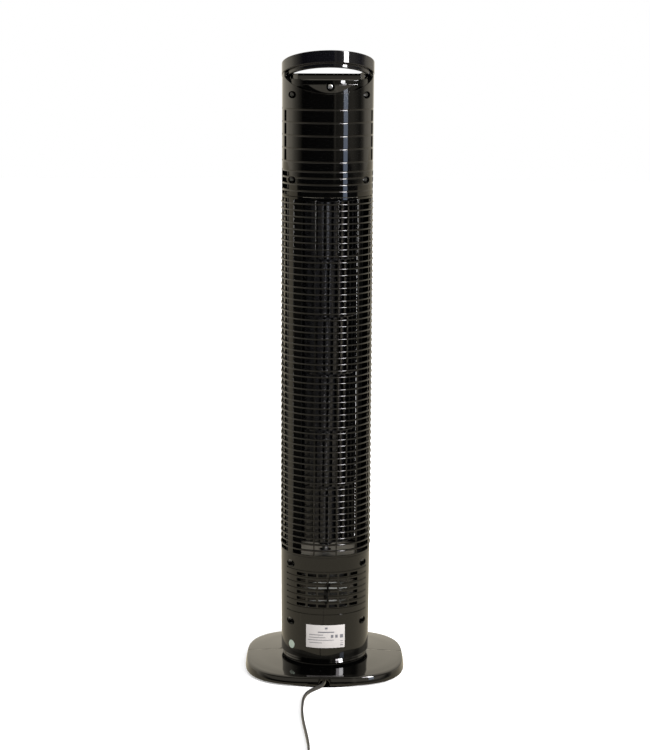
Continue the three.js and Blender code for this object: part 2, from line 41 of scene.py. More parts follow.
# ---- sizes shared by the pieces, in millimetres ----
REST_SWING = 3.5            # degrees that the tower stands turned on its base
SHELL_R = 57.2
FOOT_R = 56.4
WALL = 2.2
COLUMN_FOOT = 22.0
GRILLE_FOOT = 156.0
GRILLE_HEAD = 613.0
TOP_BAR_Z = 604.8
BAR_PITCH = 8.0
BAR_COUNT = 56
SEAM = 89.7
HOOP_R = 57.7
HOOP_BORE_R = 50.1
HOOP_LIP_R = 53.4
HOOP_SLOPE = math.tan(math.radians(16.1))
HOOP_DIP = 5.2
HOOP_TOP_Z = 776.4
HOOP_FACE_Z = 761.6
HOOP_LIP_Z = 756.9
PANEL_BACK_Y = 31.0
PANEL_BACK_Z = 764.2
PANEL_LEAN = math.radians(3.7)
BASE_HALF = 103.0
RIM = 2.9                   # exponent of the base's outline at its rim: 2 is a circle
TOP = 2.2                   # and inside the rim
FOOT_HEIGHT = 2.2
BASE_SPLIT_Y = -8.0
CORD_TALL = 5.3
CORD_THIN = 3.8


# ---- modelling helpers ----
def alone(piece):
    bpy.ops.object.select_all(action="DESELECT")
    piece.select_set(True)
    bpy.context.view_layer.objects.active = piece


def edit(piece):
    alone(piece)
    bpy.ops.object.mode_set(mode="EDIT")


def done():
    bpy.ops.object.mode_set(mode="OBJECT")


def take_all():
    bpy.ops.mesh.select_all(action="SELECT")


def named(name):
    piece = bpy.context.active_object
    piece.name = name
    piece.data.name = name
    return piece


def pick_faces(piece, test):
    """Leaves edit mode with only the faces selected that pass the test, then goes back in."""
    edit(piece)
    bpy.ops.mesh.select_mode(type="FACE")
    bpy.ops.mesh.select_all(action="DESELECT")
    done()
    for face in piece.data.polygons:
        face.select = test(face.center, face.normal)
    edit(piece)


def pick_edges(piece, test):
    edit(piece)
    bpy.ops.mesh.select_mode(type="EDGE")
    bpy.ops.mesh.select_all(action="DESELECT")
    done()
    points = piece.data.vertices
    for line in piece.data.edges:
        a, b = (points[i].co for i in line.vertices)
        line.select = test(a, b)
    edit(piece)


def settled(name):
    """Names the piece that was just added, and bakes its place and size into its mesh."""
    piece = named(name)
    alone(piece)
    bpy.ops.object.transform_apply(location=True, rotation=True, scale=True)
    return piece


def modify(piece, kind, **settings):
    alone(piece)
    modifier = piece.modifiers.new(kind.lower(), kind)
    for key, value in settings.items():
        setattr(modifier, key, value)
    bpy.ops.object.modifier_apply(modifier=modifier.name)
    return piece


def bevel(piece, width, segments, angle=30):
    return modify(piece, "BEVEL", width=width * MM, segments=segments, limit_method="ANGLE",
                  angle_limit=math.radians(angle))


def smooth(piece, angle=35):
    alone(piece)
    bpy.ops.object.shade_smooth_by_angle(angle=math.radians(angle))
    return piece


def duplicate(piece, name):
    twin = piece.copy()
    twin.data = piece.data.copy()
    twin.name = name
    bpy.context.collection.objects.link(twin)
    return twin


def add_object(name, data):
    thing = bpy.data.objects.new(name, data)
    bpy.context.collection.objects.link(thing)
    return thing


def join(pieces, name):
    bpy.ops.object.select_all(action="DESELECT")
    for piece in pieces:
        piece.select_set(True)
    bpy.context.view_layer.objects.active = pieces[0]
    if len(pieces) > 1:
        bpy.ops.object.join()
    return named(name)


def carve(piece, cutter, operation="DIFFERENCE"):
    modify(piece, "BOOLEAN", operation=operation, object=cutter, solver="EXACT")
    bpy.data.objects.remove(cutter)
    return piece


def stack(piece, count, step):
    """Repeats a piece along Z, a step in mm from one to the next."""
    return modify(piece, "ARRAY", count=count, use_relative_offset=False, use_constant_offset=True,
                  constant_offset_displace=(0, 0, step * MM))


def grid(name, columns, rows=1):
    bpy.ops.mesh.primitive_grid_add(x_subdivisions=columns, y_subdivisions=rows, size=1)
    return named(name)


def thicken(piece, thickness):
    modify(piece, "SOLIDIFY", thickness=thickness * MM, offset=0)
    face_outwards(piece)
    return piece


def face_outwards(piece):
    edit(piece)
    take_all()
    bpy.ops.mesh.remove_doubles(threshold=1e-6)
    bpy.ops.mesh.normals_make_consistent(inside=False)
    done()


def turn(piece, azimuth):
    """Turns a piece about the column's axis; +Y moves towards -X as the azimuth grows."""
    return tip(piece, math.radians(azimuth), "Z")


def tip(piece, angle, axis):
    piece.data.transform(Matrix.Rotation(angle, 4, axis))
    return piece


def shift(piece, x, y, z):
    piece.data.transform(Matrix.Translation((x * MM, y * MM, z * MM)))
    return piece


def polar(radius, azimuth, z=0.0):
    angle = math.radians(azimuth)
    return Vector((-radius * math.sin(angle), radius * math.cos(angle), z)) * MM


def outline(name, points):
    """Draws a closed line from point to point in mm, and leaves it selected in edit mode."""
    bpy.ops.mesh.primitive_plane_add(size=MM, location=[value * MM for value in points[0]])
    piece = settled(name)
    edit(piece)
    bpy.ops.mesh.select_mode(type="VERT")
    take_all()
    bpy.ops.mesh.merge(type="CENTER")
    for last, place in zip(points, [*points[1:], points[0]]):
        step = [(b - a) * MM for a, b in zip(last, place)]
        bpy.ops.mesh.extrude_region_move(TRANSFORM_OT_translate={"value": step})
    take_all()
    bpy.ops.mesh.remove_doubles(threshold=1e-6)
    take_all()
    return piece


def spun(name, profile, start=-180, end=180, steps=128):
    """A closed outline of (radius, height) points, swung about the column's axis."""
    piece = outline(name, [(radius, 0, z) for radius, z in profile])
    bpy.ops.mesh.spin(steps=steps, angle=math.radians(end - start), center=(0, 0, 0), axis=(0, 0, 1))
    take_all()
    bpy.ops.mesh.remove_doubles(threshold=1e-6)
    if end - start < 359.9:
        take_all()
        bpy.ops.mesh.fill_holes(sides=0)
    take_all()
    bpy.ops.mesh.normals_make_consistent(inside=False)
    done()
    counter_clockwise = sum(vertex.co.y for vertex in piece.data.vertices) > 0
    return turn(piece, start + 90 if counter_clockwise else end + 90)


def cylinder(name, radius, low, high, x=0.0, y=0.0, vertices=48):
    bpy.ops.mesh.primitive_cylinder_add(
        vertices=vertices, radius=radius * MM, depth=(high - low) * MM,
        location=(x * MM, y * MM, (low + high) / 2 * MM))
    return settled(name)


def block(name, x0, x1, y0, y1, z0, z1):
    bpy.ops.mesh.primitive_cube_add(
        size=1, location=((x0 + x1) / 2 * MM, (y0 + y1) / 2 * MM, (z0 + z1) / 2 * MM),
        scale=((x1 - x0) * MM, (y1 - y0) * MM, (z1 - z0) * MM))
    return settled(name)


def radial_pin(name, radius, azimuth, z, inner, outer):
    """A round bar pointing outwards from the axis."""
    bpy.ops.mesh.primitive_cylinder_add(
        vertices=32, radius=radius * MM, depth=(outer - inner) * MM,
        location=(0, (inner + outer) / 2 * MM, z * MM), rotation=(math.radians(90), 0, 0))
    return turn(settled(name), azimuth)


# ---- materials ----
def add_node(tree, kind, **settings):
    """Adds a shader node. A setting is the value of the input with that name, or else a property."""
    made = tree.nodes.new("ShaderNode" + kind)
    for key, value in settings.items():
        title = key.replace("_", " ")
        if title in made.inputs:
            made.inputs[title].default_value = value
        else:
            setattr(made, key, value)
    return made


def wire(tree, *links):
    for source, output, target, entry in links:
        tree.links.new(source.outputs[output], target.inputs[entry])


def new_group(name, inputs, outputs):
    group = bpy.data.node_groups.new(name, "ShaderNodeTree")
    for title, kind, value in inputs:
        made = group.interface.new_socket(name=title, in_out="INPUT", socket_type="NodeSocket" + kind)
        made.default_value = value
    for title, kind in outputs:
        group.interface.new_socket(name=title, in_out="OUTPUT", socket_type="NodeSocket" + kind)
    return group, group.nodes.new("NodeGroupInput"), group.nodes.new("NodeGroupOutput")


def make_moulding_group():
    """Slow waves and fine grain of an injection-moulded face, and the haze that goes with them."""
    group, given, out = new_group(
        "moulded_face",
        [("Wave Size", "Float", 40.0), ("Wave Depth", "Float", 0.1), ("Grain Depth", "Float", 0.02),
         ("Smoothest", "Float", 0.06), ("Roughest", "Float", 0.14)],
        [("Roughness", "Float"), ("Normal", "Vector")])
    place = add_node(group, "TexCoord")
    wave = add_node(group, "TexNoise", Detail=1.0)
    grain = add_node(group, "TexNoise", Scale=1400.0)
    haze = add_node(group, "TexNoise", Scale=35.0, Detail=4.0)
    spread = add_node(group, "MapRange")
    low_bump = add_node(group, "Bump", Distance=0.001)
    fine_bump = add_node(group, "Bump", Distance=0.0002)
    wire(group, *((place, "Object", noise, "Vector") for noise in (wave, grain, haze)))
    wire(group,
         (given, "Wave Size", wave, "Scale"), (wave, "Fac", low_bump, "Height"),
         (given, "Wave Depth", low_bump, "Strength"), (grain, "Fac", fine_bump, "Height"),
         (given, "Grain Depth", fine_bump, "Strength"), (low_bump, "Normal", fine_bump, "Normal"),
         (fine_bump, "Normal", out, "Normal"), (haze, "Fac", spread, "Value"),
         (given, "Smoothest", spread, "To Min"), (given, "Roughest", spread, "To Max"),
         (spread, "Result", out, "Roughness"))
    return group


def make_dust_group():
    """Lint that settles on faces turned upwards, in loose flecks."""
    group, given, out = new_group(
        "settled_dust",
        [("Clean", "Color", (0.01, 0.01, 0.01, 1)), ("Dust", "Color", (0.25, 0.23, 0.2, 1)),
         ("Amount", "Float", 0.05)],
        [("Color", "Color")])
    place = add_node(group, "TexCoord")
    fleck = add_node(group, "TexNoise", Scale=260.0, Detail=5.0)
    sharpen = add_node(group, "MapRange", From_Min=0.5, From_Max=0.75)
    facing = add_node(group, "NewGeometry")
    split = add_node(group, "SeparateXYZ")
    upward = add_node(group, "MapRange", From_Min=0.2)
    flecks_up = add_node(group, "Math", operation="MULTIPLY")
    share = add_node(group, "Math", operation="MULTIPLY")
    blend = add_node(group, "Mix", data_type="RGBA")
    wire(group,
         (place, "Object", fleck, "Vector"), (fleck, "Fac", sharpen, "Value"),
         (facing, "Normal", split, "Vector"), (split, "Z", upward, "Value"),
         (sharpen, "Result", flecks_up, 0), (upward, "Result", flecks_up, 1),
         (flecks_up, "Value", share, 0), (given, "Amount", share, 1),
         (share, "Value", blend, "Factor"), (given, "Clean", blend, "A"), (given, "Dust", blend, "B"),
         (blend, "Result", out, "Color"))
    return group


moulding_group = make_moulding_group()
dust_group = make_dust_group()


def new_material(name):
    material = bpy.data.materials.new(name)
    material.use_nodes = True
    tree = material.node_tree
    return material, tree, tree.nodes["Principled BSDF"]


def moulded(name, colour, smoothest, roughest, wave=0.05, grain=0.1, dust=0.02, metallic=0.0, ior=1.5):
    material, tree, shader = new_material(name)
    face = add_node(tree, "Group", node_tree=moulding_group)
    lint = add_node(tree, "Group", node_tree=dust_group)
    for title, value in (("Smoothest", smoothest), ("Roughest", roughest), ("Wave Depth", wave),
                         ("Grain Depth", grain)):
        face.inputs[title].default_value = value
    lint.inputs["Clean"].default_value = (*colour, 1)
    lint.inputs["Amount"].default_value = dust
    shader.inputs["IOR"].default_value = ior
    shader.inputs["Metallic"].default_value = metallic
    wire(tree, (lint, "Color", shader, "Base Color"), (face, "Roughness", shader, "Roughness"),
         (face, "Normal", shader, "Normal"))
    return material


def black(level):
    return (level, level, level)


gloss_black = moulded("gloss_black_abs", black(0.0006), 0.03, 0.07, grain=0.006, dust=0.004)
hoop_black = moulded("hoop_black_abs", (0.002, 0.002, 0.0027), 0.06, 0.1, wave=0.04, grain=0.004, dust=0.005)
satin_black = moulded("satin_black_abs", black(0.008), 0.32, 0.48, grain=0.2, dust=0.05)
duct_black = moulded("duct_black", black(0.002), 0.6, 0.8, grain=0.2, dust=0.01, ior=1.15)
blade_black = moulded("impeller_black", (0.004, 0.004, 0.0045), 0.14, 0.22, grain=0.03)
rubber_black = moulded("foot_rubber", black(0.012), 0.6, 0.8, wave=0.02, grain=0.3, dust=0.08)
lead_pvc = moulded("lead_pvc", black(0.012), 0.3, 0.42, wave=0.03, grain=0.08, dust=0.03)
zinc_plate = moulded("zinc_plate", (0.62, 0.64, 0.66), 0.22, 0.4, wave=0.03, dust=0.05, metallic=1.0)
motor_zinc = moulded("motor_casting", (0.5, 0.52, 0.5), 0.35, 0.55, wave=0.1, grain=0.4, dust=0.1,
                     metallic=0.5)
lamination_varnish = moulded("lamination_varnish", (0.05, 0.045, 0.035), 0.35, 0.5, grain=0.3, dust=0.1,
                             metallic=0.5)
steel_sheet = moulded("rolled_steel", (0.42, 0.42, 0.42), 0.25, 0.4, wave=0.03, grain=0.2, dust=0.05,
                      metallic=1.0)
copper_wire = moulded("enamelled_copper", (0.45, 0.16, 0.05), 0.25, 0.4, wave=0.2, grain=0.4, dust=0.03,
                      metallic=0.9)
natural_nylon = moulded("natural_nylon", (0.68, 0.66, 0.58), 0.35, 0.5)
circuit_green = moulded("solder_mask", (0.02, 0.12, 0.04), 0.2, 0.35, wave=0.03, grain=0.3)
smoked_lens = moulded("smoked_lens", (0.02, 0.004, 0.004), 0.02, 0.05, wave=0.01, grain=0.0, dust=0.01)
paper_white = moulded("label_paper", (0.33, 0.315, 0.3), 0.35, 0.5, dust=0.0)
print_grey = moulded("label_print", (0.09, 0.09, 0.1), 0.4, 0.5, wave=0.02, dust=0.0)
sticker_mint = moulded("sticker_film", (0.36, 0.43, 0.36), 0.25, 0.4, grain=0.05, dust=0.0)


def finish(piece, material, body, replaced=()):
    piece.data.materials.clear()
    piece.data.materials.append(material)
    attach(piece, body)
    if replaced:
        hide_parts(*replaced)
    return piece


ROUND_ENOUGH = 0.995        # cosine of how far a face may lean off the column's own wall


def light_as_round(piece):
    """Walls that follow the column get the column's own normals, wherever they were cut."""
    mesh = piece.data
    normals = [corner.vector.copy() for corner in mesh.corner_normals]
    for face in mesh.polygons:
        outwards = Vector((face.center.x, face.center.y, 0)).normalized()
        side = outwards.dot(face.normal)
        if abs(side) < ROUND_ENOUGH:
            continue
        for corner in face.loop_indices:
            point = mesh.vertices[mesh.loops[corner].vertex_index].co
            normals[corner] = Vector((point.x, point.y, 0)).normalized() * math.copysign(1, side)
    mesh.normals_split_custom_set(normals)
    return piece


def on_tower(piece, material, replaced=(), body="tower", round_walls=False):
    turn(piece, REST_SWING)
    if round_walls:
        light_as_round(piece)
    return finish(piece, material, body, replaced)


def on_shell(piece, node, material=gloss_black):
    return on_tower(piece, material, [node], round_walls=True)


# ---- camera, lights and floor ----
CAMERA_PLACE = (0.00168, 2.51508, 0.82843)
CAMERA_LENS = 95.957
CAMERA_PITCH = math.radians(10.061)
CAMERA_ROLL = math.radians(0.338)
LIGHT_FAR = 2.6             # metres
WINDOW_SIDE = 45.2          # degrees from +Y towards -X, as for every azimuth here
LAMP_SIDE = 35.5
ROOM_TINT = (1.0, 0.92, 0.76)
ROOM_ROUND = [              # (azimuth, brightness) of what gloss mirrors all round
    (-180, 1.18), (-160, 0.9), (-140, 1.1), (-120, 1.3), (-104, 1.3), (-91, 0.72), (-76, 0.23), (-66, 0.01),
    (14, 0.01), (19, 0.4), (21, 0.14), (50, 0.3), (64, 0.36), (78, 0.2), (88, 0.08), (98, 0.3), (108, 0.95),
    (123, 1.0), (145, 0.6), (160, 0.8), (180, 1.18)]
ROOM_AHEAD = [              # (sine of the elevation, brightness) that is added on the +Y side
    (0.08, 0), (0.11, 0.7), (0.2, 0.7), (0.26, 0), (0.44, 0), (0.5, 0.9)]
PAINTED_SHADOW_R = 0.102             # metres of floor painted near-black as the base's shadow


def aim(thing, target):
    thing.rotation_euler = (Vector(target) - thing.location).to_track_quat("-Z", "Y").to_euler()


def make_camera():
    data = bpy.data.cameras.new("camera")
    data.lens = CAMERA_LENS
    data.sensor_width = 36.0
    camera = add_object("camera", data)
    upright = Matrix.Rotation(math.pi, 4, "Z") @ Matrix.Rotation(math.pi / 2 - CAMERA_PITCH, 4, "X")
    camera.matrix_world = Matrix.Translation(CAMERA_PLACE) @ upright @ Matrix.Rotation(CAMERA_ROLL, 4, "Z")
    bpy.context.scene.camera = camera


def area_light(name, azimuth, height, target_height, width, tall, power, colour):
    """A rectangle of light, LIGHT_FAR from the column, that looks at the column's axis."""
    data = bpy.data.lights.new(name, "AREA")
    data.shape = "RECTANGLE"
    data.size = width
    data.size_y = tall
    data.energy = power
    data.color = colour
    light = add_object(name, data)
    side = math.radians(azimuth)
    light.location = (-LIGHT_FAR * math.sin(side), LIGHT_FAR * math.cos(side), height)
    aim(light, (0, 0, target_height))


def make_lights():
    """A tall window in two parts to one side, and a lamp high above it."""
    area_light("strip_high", WINDOW_SIDE, 1.43, 1.43, 0.5, 1.5, 125, (1.0, 0.98, 1.0))
    area_light("strip_low", WINDOW_SIDE, 0.5, 0.5, 0.5, 0.34, 1.7, (0.62, 0.75, 1.0))
    area_light("high_lamp", LAMP_SIDE, 1.35, 0.1, 0.4, 0.7, 18, (1.0, 0.93, 0.97))


def tinted_ramp(tree, levels):
    """A ramp of the room's tint, from (position, brightness) pairs."""
    made = add_node(tree, "ValToRGB")
    stops = made.color_ramp.elements
    for _ in levels[2:]:
        stops.new(0.5)
    for stop, (position, level) in zip(stops, levels):
        stop.position = position
        stop.color = (*(level * part for part in ROOM_TINT), 1)
    return made


def make_world():
    """White all round, but gloss mirrors a room that is bright behind the fan and dark before it."""
    world = bpy.data.worlds.new("studio")
    bpy.context.scene.world = world
    world.use_nodes = True
    tree = world.node_tree
    tree.nodes.clear()
    out = add_node(tree, "OutputWorld")
    ray = add_node(tree, "LightPath")
    place = add_node(tree, "TexCoord")
    split = add_node(tree, "SeparateXYZ")
    minus = add_node(tree, "Math", operation="MULTIPLY")
    minus.inputs[1].default_value = -1.0
    angle = add_node(tree, "Math", operation="ARCTAN2")
    spread = add_node(tree, "MapRange", From_Min=-math.pi, From_Max=math.pi)
    around = tinted_ramp(tree, [((azimuth + 180) / 360, level) for azimuth, level in ROOM_ROUND])
    front = add_node(tree, "MapRange", From_Min=-0.2, From_Max=0.2)
    height = tinted_ramp(tree, ROOM_AHEAD)
    ahead = add_node(tree, "Mix", data_type="RGBA", blend_type="ADD")
    studio = add_node(tree, "Background")
    white = add_node(tree, "Background", Color=(1, 1, 1, 1))
    pick = add_node(tree, "MixShader")
    wire(tree,
         (place, "Generated", split, "Vector"), (split, "X", minus, 0), (minus, "Value", angle, 0),
         (split, "Y", angle, 1), (angle, "Value", spread, "Value"), (spread, "Result", around, "Fac"),
         (split, "Y", front, "Value"), (split, "Z", height, "Fac"), (front, "Result", ahead, "Factor"),
         (around, "Color", ahead, "A"), (height, "Color", ahead, "B"), (ahead, "Result", studio, "Color"),
         (ray, "Is Glossy Ray", pick, "Fac"), (white, "Background", pick, 1),
         (studio, "Background", pick, 2), (pick, "Shader", out, "Surface"))


def make_floor():
    """A white sweep with the base's shadow painted black under it, that mirrors as bright near the fan and
    dark far off.
    """
    bpy.ops.mesh.primitive_plane_add(size=16)
    floor = named("floor")
    material, tree, shader = new_material("floor_white")
    for title, value in (("Base Color", (0.93, 0.93, 0.93, 1)), ("Roughness", 0.9),
                         ("Specular IOR Level", 0.0), ("Emission Color", (1, 1, 1, 1)),
                         ("Emission Strength", 0.3)):
        shader.inputs[title].default_value = value
    out = tree.nodes["Material Output"]
    ray = add_node(tree, "LightPath")
    place = add_node(tree, "TexCoord")
    reach = add_node(tree, "VectorMath", operation="LENGTH")
    outside = add_node(tree, "Math", operation="GREATER_THAN")
    outside.inputs[1].default_value = PAINTED_SHADOW_R
    # painted shadow: inside this radius of the axis the floor turns near-black, standing in for the base's
    # shade
    under = add_node(tree, "BsdfDiffuse", Color=(0.004, 0.004, 0.004, 1))
    plain = add_node(tree, "MixShader")
    split = add_node(tree, "SeparateXYZ")
    far = add_node(tree, "MapRange", From_Min=0.75, From_Max=1.3)
    dark = add_node(tree, "Emission", Color=(0.01, 0.01, 0.01, 1))
    warm = add_node(tree, "Emission", Color=(0.74, 0.66, 0.5, 1))
    near_or_far = add_node(tree, "MixShader")
    seen = add_node(tree, "MixShader")
    wire(tree,
         (place, "Object", split, "Vector"), (split, "Y", far, "Value"), (far, "Result", near_or_far, "Fac"),
         (warm, "Emission", near_or_far, 1), (dark, "Emission", near_or_far, 2),
         (ray, "Is Glossy Ray", seen, "Fac"), (place, "Object", reach, 0), (reach, "Value", outside, 0),
         (outside, "Value", plain, "Fac"), (under, "BSDF", plain, 1), (shader, "BSDF", plain, 2),
         (plain, "Shader", seen, 1), (near_or_far, "Shader", seen, 2), (seen, "Shader", out, "Surface"))
    floor.data.materials.append(material)


make_camera()
make_lights()
make_world()
make_floor()
bpy.context.scene.view_settings.view_transform = "Standard"

# ---- mains lead ----
LEAD_ROUTE = [              # from the notch in the base along the floor to the coil
    (0, 86.3, 4.4), (0.3, 94, 4.2), (2.6, 101.5, 3.4), (7.3, 108.6, 2.8), (13.2, 116.2, 2.7),
    (18.6, 125, 2.7), (22.6, 135, 2.7), (25, 146.5, 2.7), (26.3, 158, 2.7), (27, 176, 2.7),
    (27, 200, 2.7), (25.6, 228, 2.7), (23, 258, 2.7), (20, 290, 2.7), (18, 320, 2.7),
    (18, 350, 2.7), (19.2, 372, 2.7), (19.8, 386, 2.7),
]
TAIL_ROUTE = [(-37.8, 443, 8.1), (-43, 442.9, 7.6), (-49, 442.6, 7), (-55, 442.4, 6.85)]
COIL_CENTRE = (-18, 405)
COIL_WIDEST = 38.0
COIL_TIGHTEST = 21.8
COIL_FROM = -10
COIL_TO = 90 + 6 * 360
COIL_STEP = 18


def coil_points():
    """Turns inwards along the floor, then climbs one layer and turns back outwards."""
    points = []
    middle = (COIL_FROM + COIL_TO) / 2
    half = (COIL_TO - COIL_FROM) / 2
    for angle in range(COIL_FROM, COIL_TO + 1, COIL_STEP):
        share = abs(angle - middle) / half
        radius = COIL_TIGHTEST + (COIL_WIDEST - COIL_TIGHTEST) * share
        climb = min(max((angle - middle) / 110 + 0.5, 0), 1)
        height = 2.75 + 5.35 * climb * climb * (3 - 2 * climb)
        x = COIL_CENTRE[0] + radius * math.cos(math.radians(angle))
        y = COIL_CENTRE[1] + radius * math.sin(math.radians(angle))
        points.append((x, y, height))
    return points


def curve_through(points, pieces):
    """Catmull-Rom points between each pair of control points, in metres."""
    knots = [Vector(p) * MM for p in points]
    knots = [knots[0] * 2 - knots[1], *knots, knots[-1] * 2 - knots[-2]]
    line = []
    for before, a, b, after in zip(knots, knots[1:], knots[2:], knots[3:]):
        for i in range(pieces):
            t = i / pieces
            line.append(0.5 * (2 * a + (b - before) * t + (2 * before - 5 * a + 4 * b - after) * t * t
                               + (3 * a - before - 3 * b + after) * t ** 3))
    return [*line, knots[-2]]


def lead_section():
    """Two round cores side by side, one above the other, joined by a waist."""
    half_tall, half_thin = CORD_TALL / 2 * MM, CORD_THIN / 2 * MM
    curve = bpy.data.curves.new("lead_section", "CURVE")
    spline = curve.splines.new("POLY")
    count = 20
    spline.points.add(count - 1)
    for i, point in enumerate(spline.points):
        angle = i * math.tau / count
        waist = 1 - 0.26 * math.sin(angle) ** 8
        point.co = (half_thin * math.sin(angle) * waist, half_tall * math.cos(angle), 0, 1)
    spline.use_cyclic_u = True
    return add_object("lead_section", curve)


def make_lead():
    path = curve_through([*LEAD_ROUTE, *coil_points(), *TAIL_ROUTE], 4)
    section = lead_section()
    curve = bpy.data.curves.new("mains_lead", "CURVE")
    curve.dimensions = "3D"
    curve.twist_mode = "Z_UP"
    curve.bevel_mode = "OBJECT"
    curve.bevel_object = section
    curve.use_fill_caps = True
    spline = curve.splines.new("POLY")
    spline.points.add(len(path) - 1)
    for point, place in zip(spline.points, path):
        point.co = (*place, 1)
    alone(add_object("mains_lead", curve))
    bpy.ops.object.convert(target="MESH")
    lead = named("mains_lead")
    bpy.data.objects.remove(section)
    smooth(lead, 60)
    length = sum((b - a).length for a, b in zip(path, path[1:]))
    print("lead length", round(length, 4))
    finish(lead, lead_pvc, "root", ["power_cord", "cord_coil", "cord_tail"])
    return lead, path


lead, lead_path = make_lead()


def make_plug():
    middle_y = 442.4
    middle_z = 6.95
    back, face = -55.3, -91.3
    shell = block("plug_shell", face, back, middle_y - 17.6, middle_y + 17.6, 0.1, 13.8)
    edit(shell)
    take_all()
    bpy.ops.mesh.bisect(plane_co=(-74 * MM, 0, 0), plane_no=(1, 0, 0))
    take_all()
    bpy.ops.mesh.bisect(plane_co=((back - 9) * MM, 0, 0), plane_no=(1, 0, 0))
    done()
    for vertex in shell.data.vertices:
        x = vertex.co.x / MM
        half = 17.6 if x < -73 else (7.0 if x < back - 5 else 5.5)
        vertex.co.y = (middle_y + math.copysign(half, vertex.co.y / MM - middle_y)) * MM
        if x > back - 10:
            vertex.co.z = (middle_z + (vertex.co.z / MM - middle_z) * (0.85 if x < back - 5 else 0.68)) * MM
    bevel(shell, 1.6, 4)
    smooth(shell, 50)
    finish(shell, satin_black, "root", ["plug"])
    pins = []
    for offset, node in ((-9.3, "plug_pin_1"), (9.3, "plug_pin_2")):
        sleeve = cylinder("sleeve", 1.9, 0, 10, vertices=24)
        metal = cylinder("tip", 2.0, 10.05, 19, vertices=24)
        pick_faces(metal, lambda centre, normal: normal.z > 0.9)
        bpy.ops.mesh.bevel(offset=0.9 * MM, segments=4, affect="EDGES")
        done()
        for part in (sleeve, metal):
            tip(part, -math.pi / 2, "Y")
            smooth(shift(part, face - 0.3, middle_y + offset, middle_z))
        finish(sleeve, satin_black, "root")
        finish(metal, zinc_plate, "root", [node])
        sleeve.name = f"{node}_sleeve"
        metal.name = f"{node}_metal"
        pins += [sleeve, metal]
    return [shell, *pins]


def make_strain_relief():
    """A tapered sleeve with bending grooves."""
    profile = [(0, 58), (4.3, 58), (4.3, 63.5)]
    for i in range(6):
        y = 64 + i * 3.6
        radius = 4.2 - i * 0.13
        profile += [(radius, y), (radius, y + 2.2), (radius - 0.7, y + 2.4), (radius - 0.7, y + 3.4)]
    profile += [(3.3, 86), (0, 86)]
    relief = spun("strain_relief_boot", profile, steps=32)
    shift(tip(relief, -math.pi / 2, "X"), 0, 0, 4.4)
    face_outwards(relief)
    smooth(relief)
    return finish(relief, rubber_black, "root", ["strain_relief"])


plug_pieces = make_plug()
relief = make_strain_relief()


# ---- base ----
NOTCH_HALF = 6.8
NOTCH_TOP = 10.6
STUB_R = 19.0
PAD_CENTRE = 72.0
PAD_R = 8.0
BASE_LEVELS = [             # (inset from the edge, height, exponent of the outline)
    (0.4, 2.5, RIM), (0, 3.2, RIM), (0.1, 4.4, RIM), (0.8, 8.0, RIM), (1.6, 11.0, RIM), (1.9, 12.2, RIM),
    (2.2, 12.6, RIM), (2.7, 12.85, RIM), (4.2, 13.3, 2.6), (5.2, 13.6, TOP), (6.4, 13.75, TOP),
    (16, 14.1, TOP), (26, 14.6, TOP), (35, 15.1, TOP), (44, 15.6, TOP)]
BASE_HOLLOW = [
    (2.8, -1, RIM), (2.6, 7, RIM), (3.6, 10.2, RIM), (8, 11.2, TOP), (26, 12.2, TOP), (46, 13.2, TOP)]


def rounded_square(inset, z, squareness, turn_share):
    half = BASE_HALF - inset
    power = 2 / squareness
    x, y = math.cos(math.tau * turn_share), math.sin(math.tau * turn_share)
    return half * math.copysign(abs(x) ** power, x), half * math.copysign(abs(y) ** power, y), z


def stacked(name, levels):
    """A closed body that steps up through rounded squares, each extruded from the one below it."""
    points = 240
    bpy.ops.mesh.primitive_circle_add(vertices=points, radius=BASE_HALF * MM, fill_type="NGON",
                                      location=(0, 0, 0))
    body = settled(name)
    edit(body)
    bpy.ops.mesh.select_mode(type="FACE")
    take_all()
    for _ in levels[1:]:
        bpy.ops.mesh.extrude_region_move(TRANSFORM_OT_translate={"value": (0, 0, MM)})
    done()
    for vertex in body.data.vertices:
        level = round(vertex.co.z / MM)
        turn_share = math.atan2(vertex.co.y, vertex.co.x) / math.tau
        vertex.co = Vector(rounded_square(*levels[level], turn_share)) * MM
    face_outwards(body)
    return body


def make_base_blank():
    return carve(stacked("base_blank", [(1.4, FOOT_HEIGHT, RIM), *BASE_LEVELS]),
                 stacked("base_hollow", BASE_HOLLOW))


def make_base():
    blank = make_base_blank()
    stub_hole = cylinder("stub_hole", STUB_R + 0.3, 0, 30, vertices=64)
    carve(blank, stub_hole)
    notch = rear_bore("notch", NOTCH_HALF, 0, 0, 85, 110)
    for vertex in notch.data.vertices:
        if vertex.co.z < 0:
            vertex.co.z *= 4
    carve(blank, shift(notch, 0, 0, NOTCH_TOP - NOTCH_HALF))
    rear = duplicate(blank, "base_cover_rear")
    far = 130
    carve(blank, block("rear_half", -far, far, BASE_SPLIT_Y - 0.2, far, -9, 40))
    carve(rear, block("front_half", -far, far, -far, BASE_SPLIT_Y + 0.2, -9, 40))
    blank.name = "base_cover_front"
    for half, node in ((blank, "base_front"), (rear, "base_rear")):
        bevel(half, 0.22, 2, 40)
        smooth(half, 40)
        finish(half, gloss_black, "root", [node])


def make_foot_pads():
    pad = cylinder("foot_pad", PAD_R, 0, FOOT_HEIGHT)
    pick_faces(pad, lambda centre, normal: normal.z < -0.9)
    bpy.ops.mesh.inset(thickness=2.2 * MM)
    bpy.ops.mesh.inset(thickness=0.4 * MM, depth=-0.5 * MM)
    bpy.ops.mesh.inset(thickness=1.0 * MM)
    bpy.ops.mesh.inset(thickness=0.4 * MM, depth=0.5 * MM)
    done()
    bevel(pad, 0.25, 2, 50)
    smooth(pad)
    number = 1
    for x in (-PAD_CENTRE, PAD_CENTRE):
        for y in (-PAD_CENTRE, PAD_CENTRE):
            one = duplicate(pad, f"rubber_foot_{number}")
            shift(one, x, y, 0)
            finish(one, rubber_black, "root", [f"foot_pad_{number}"])
            number += 1
    bpy.data.objects.remove(pad)


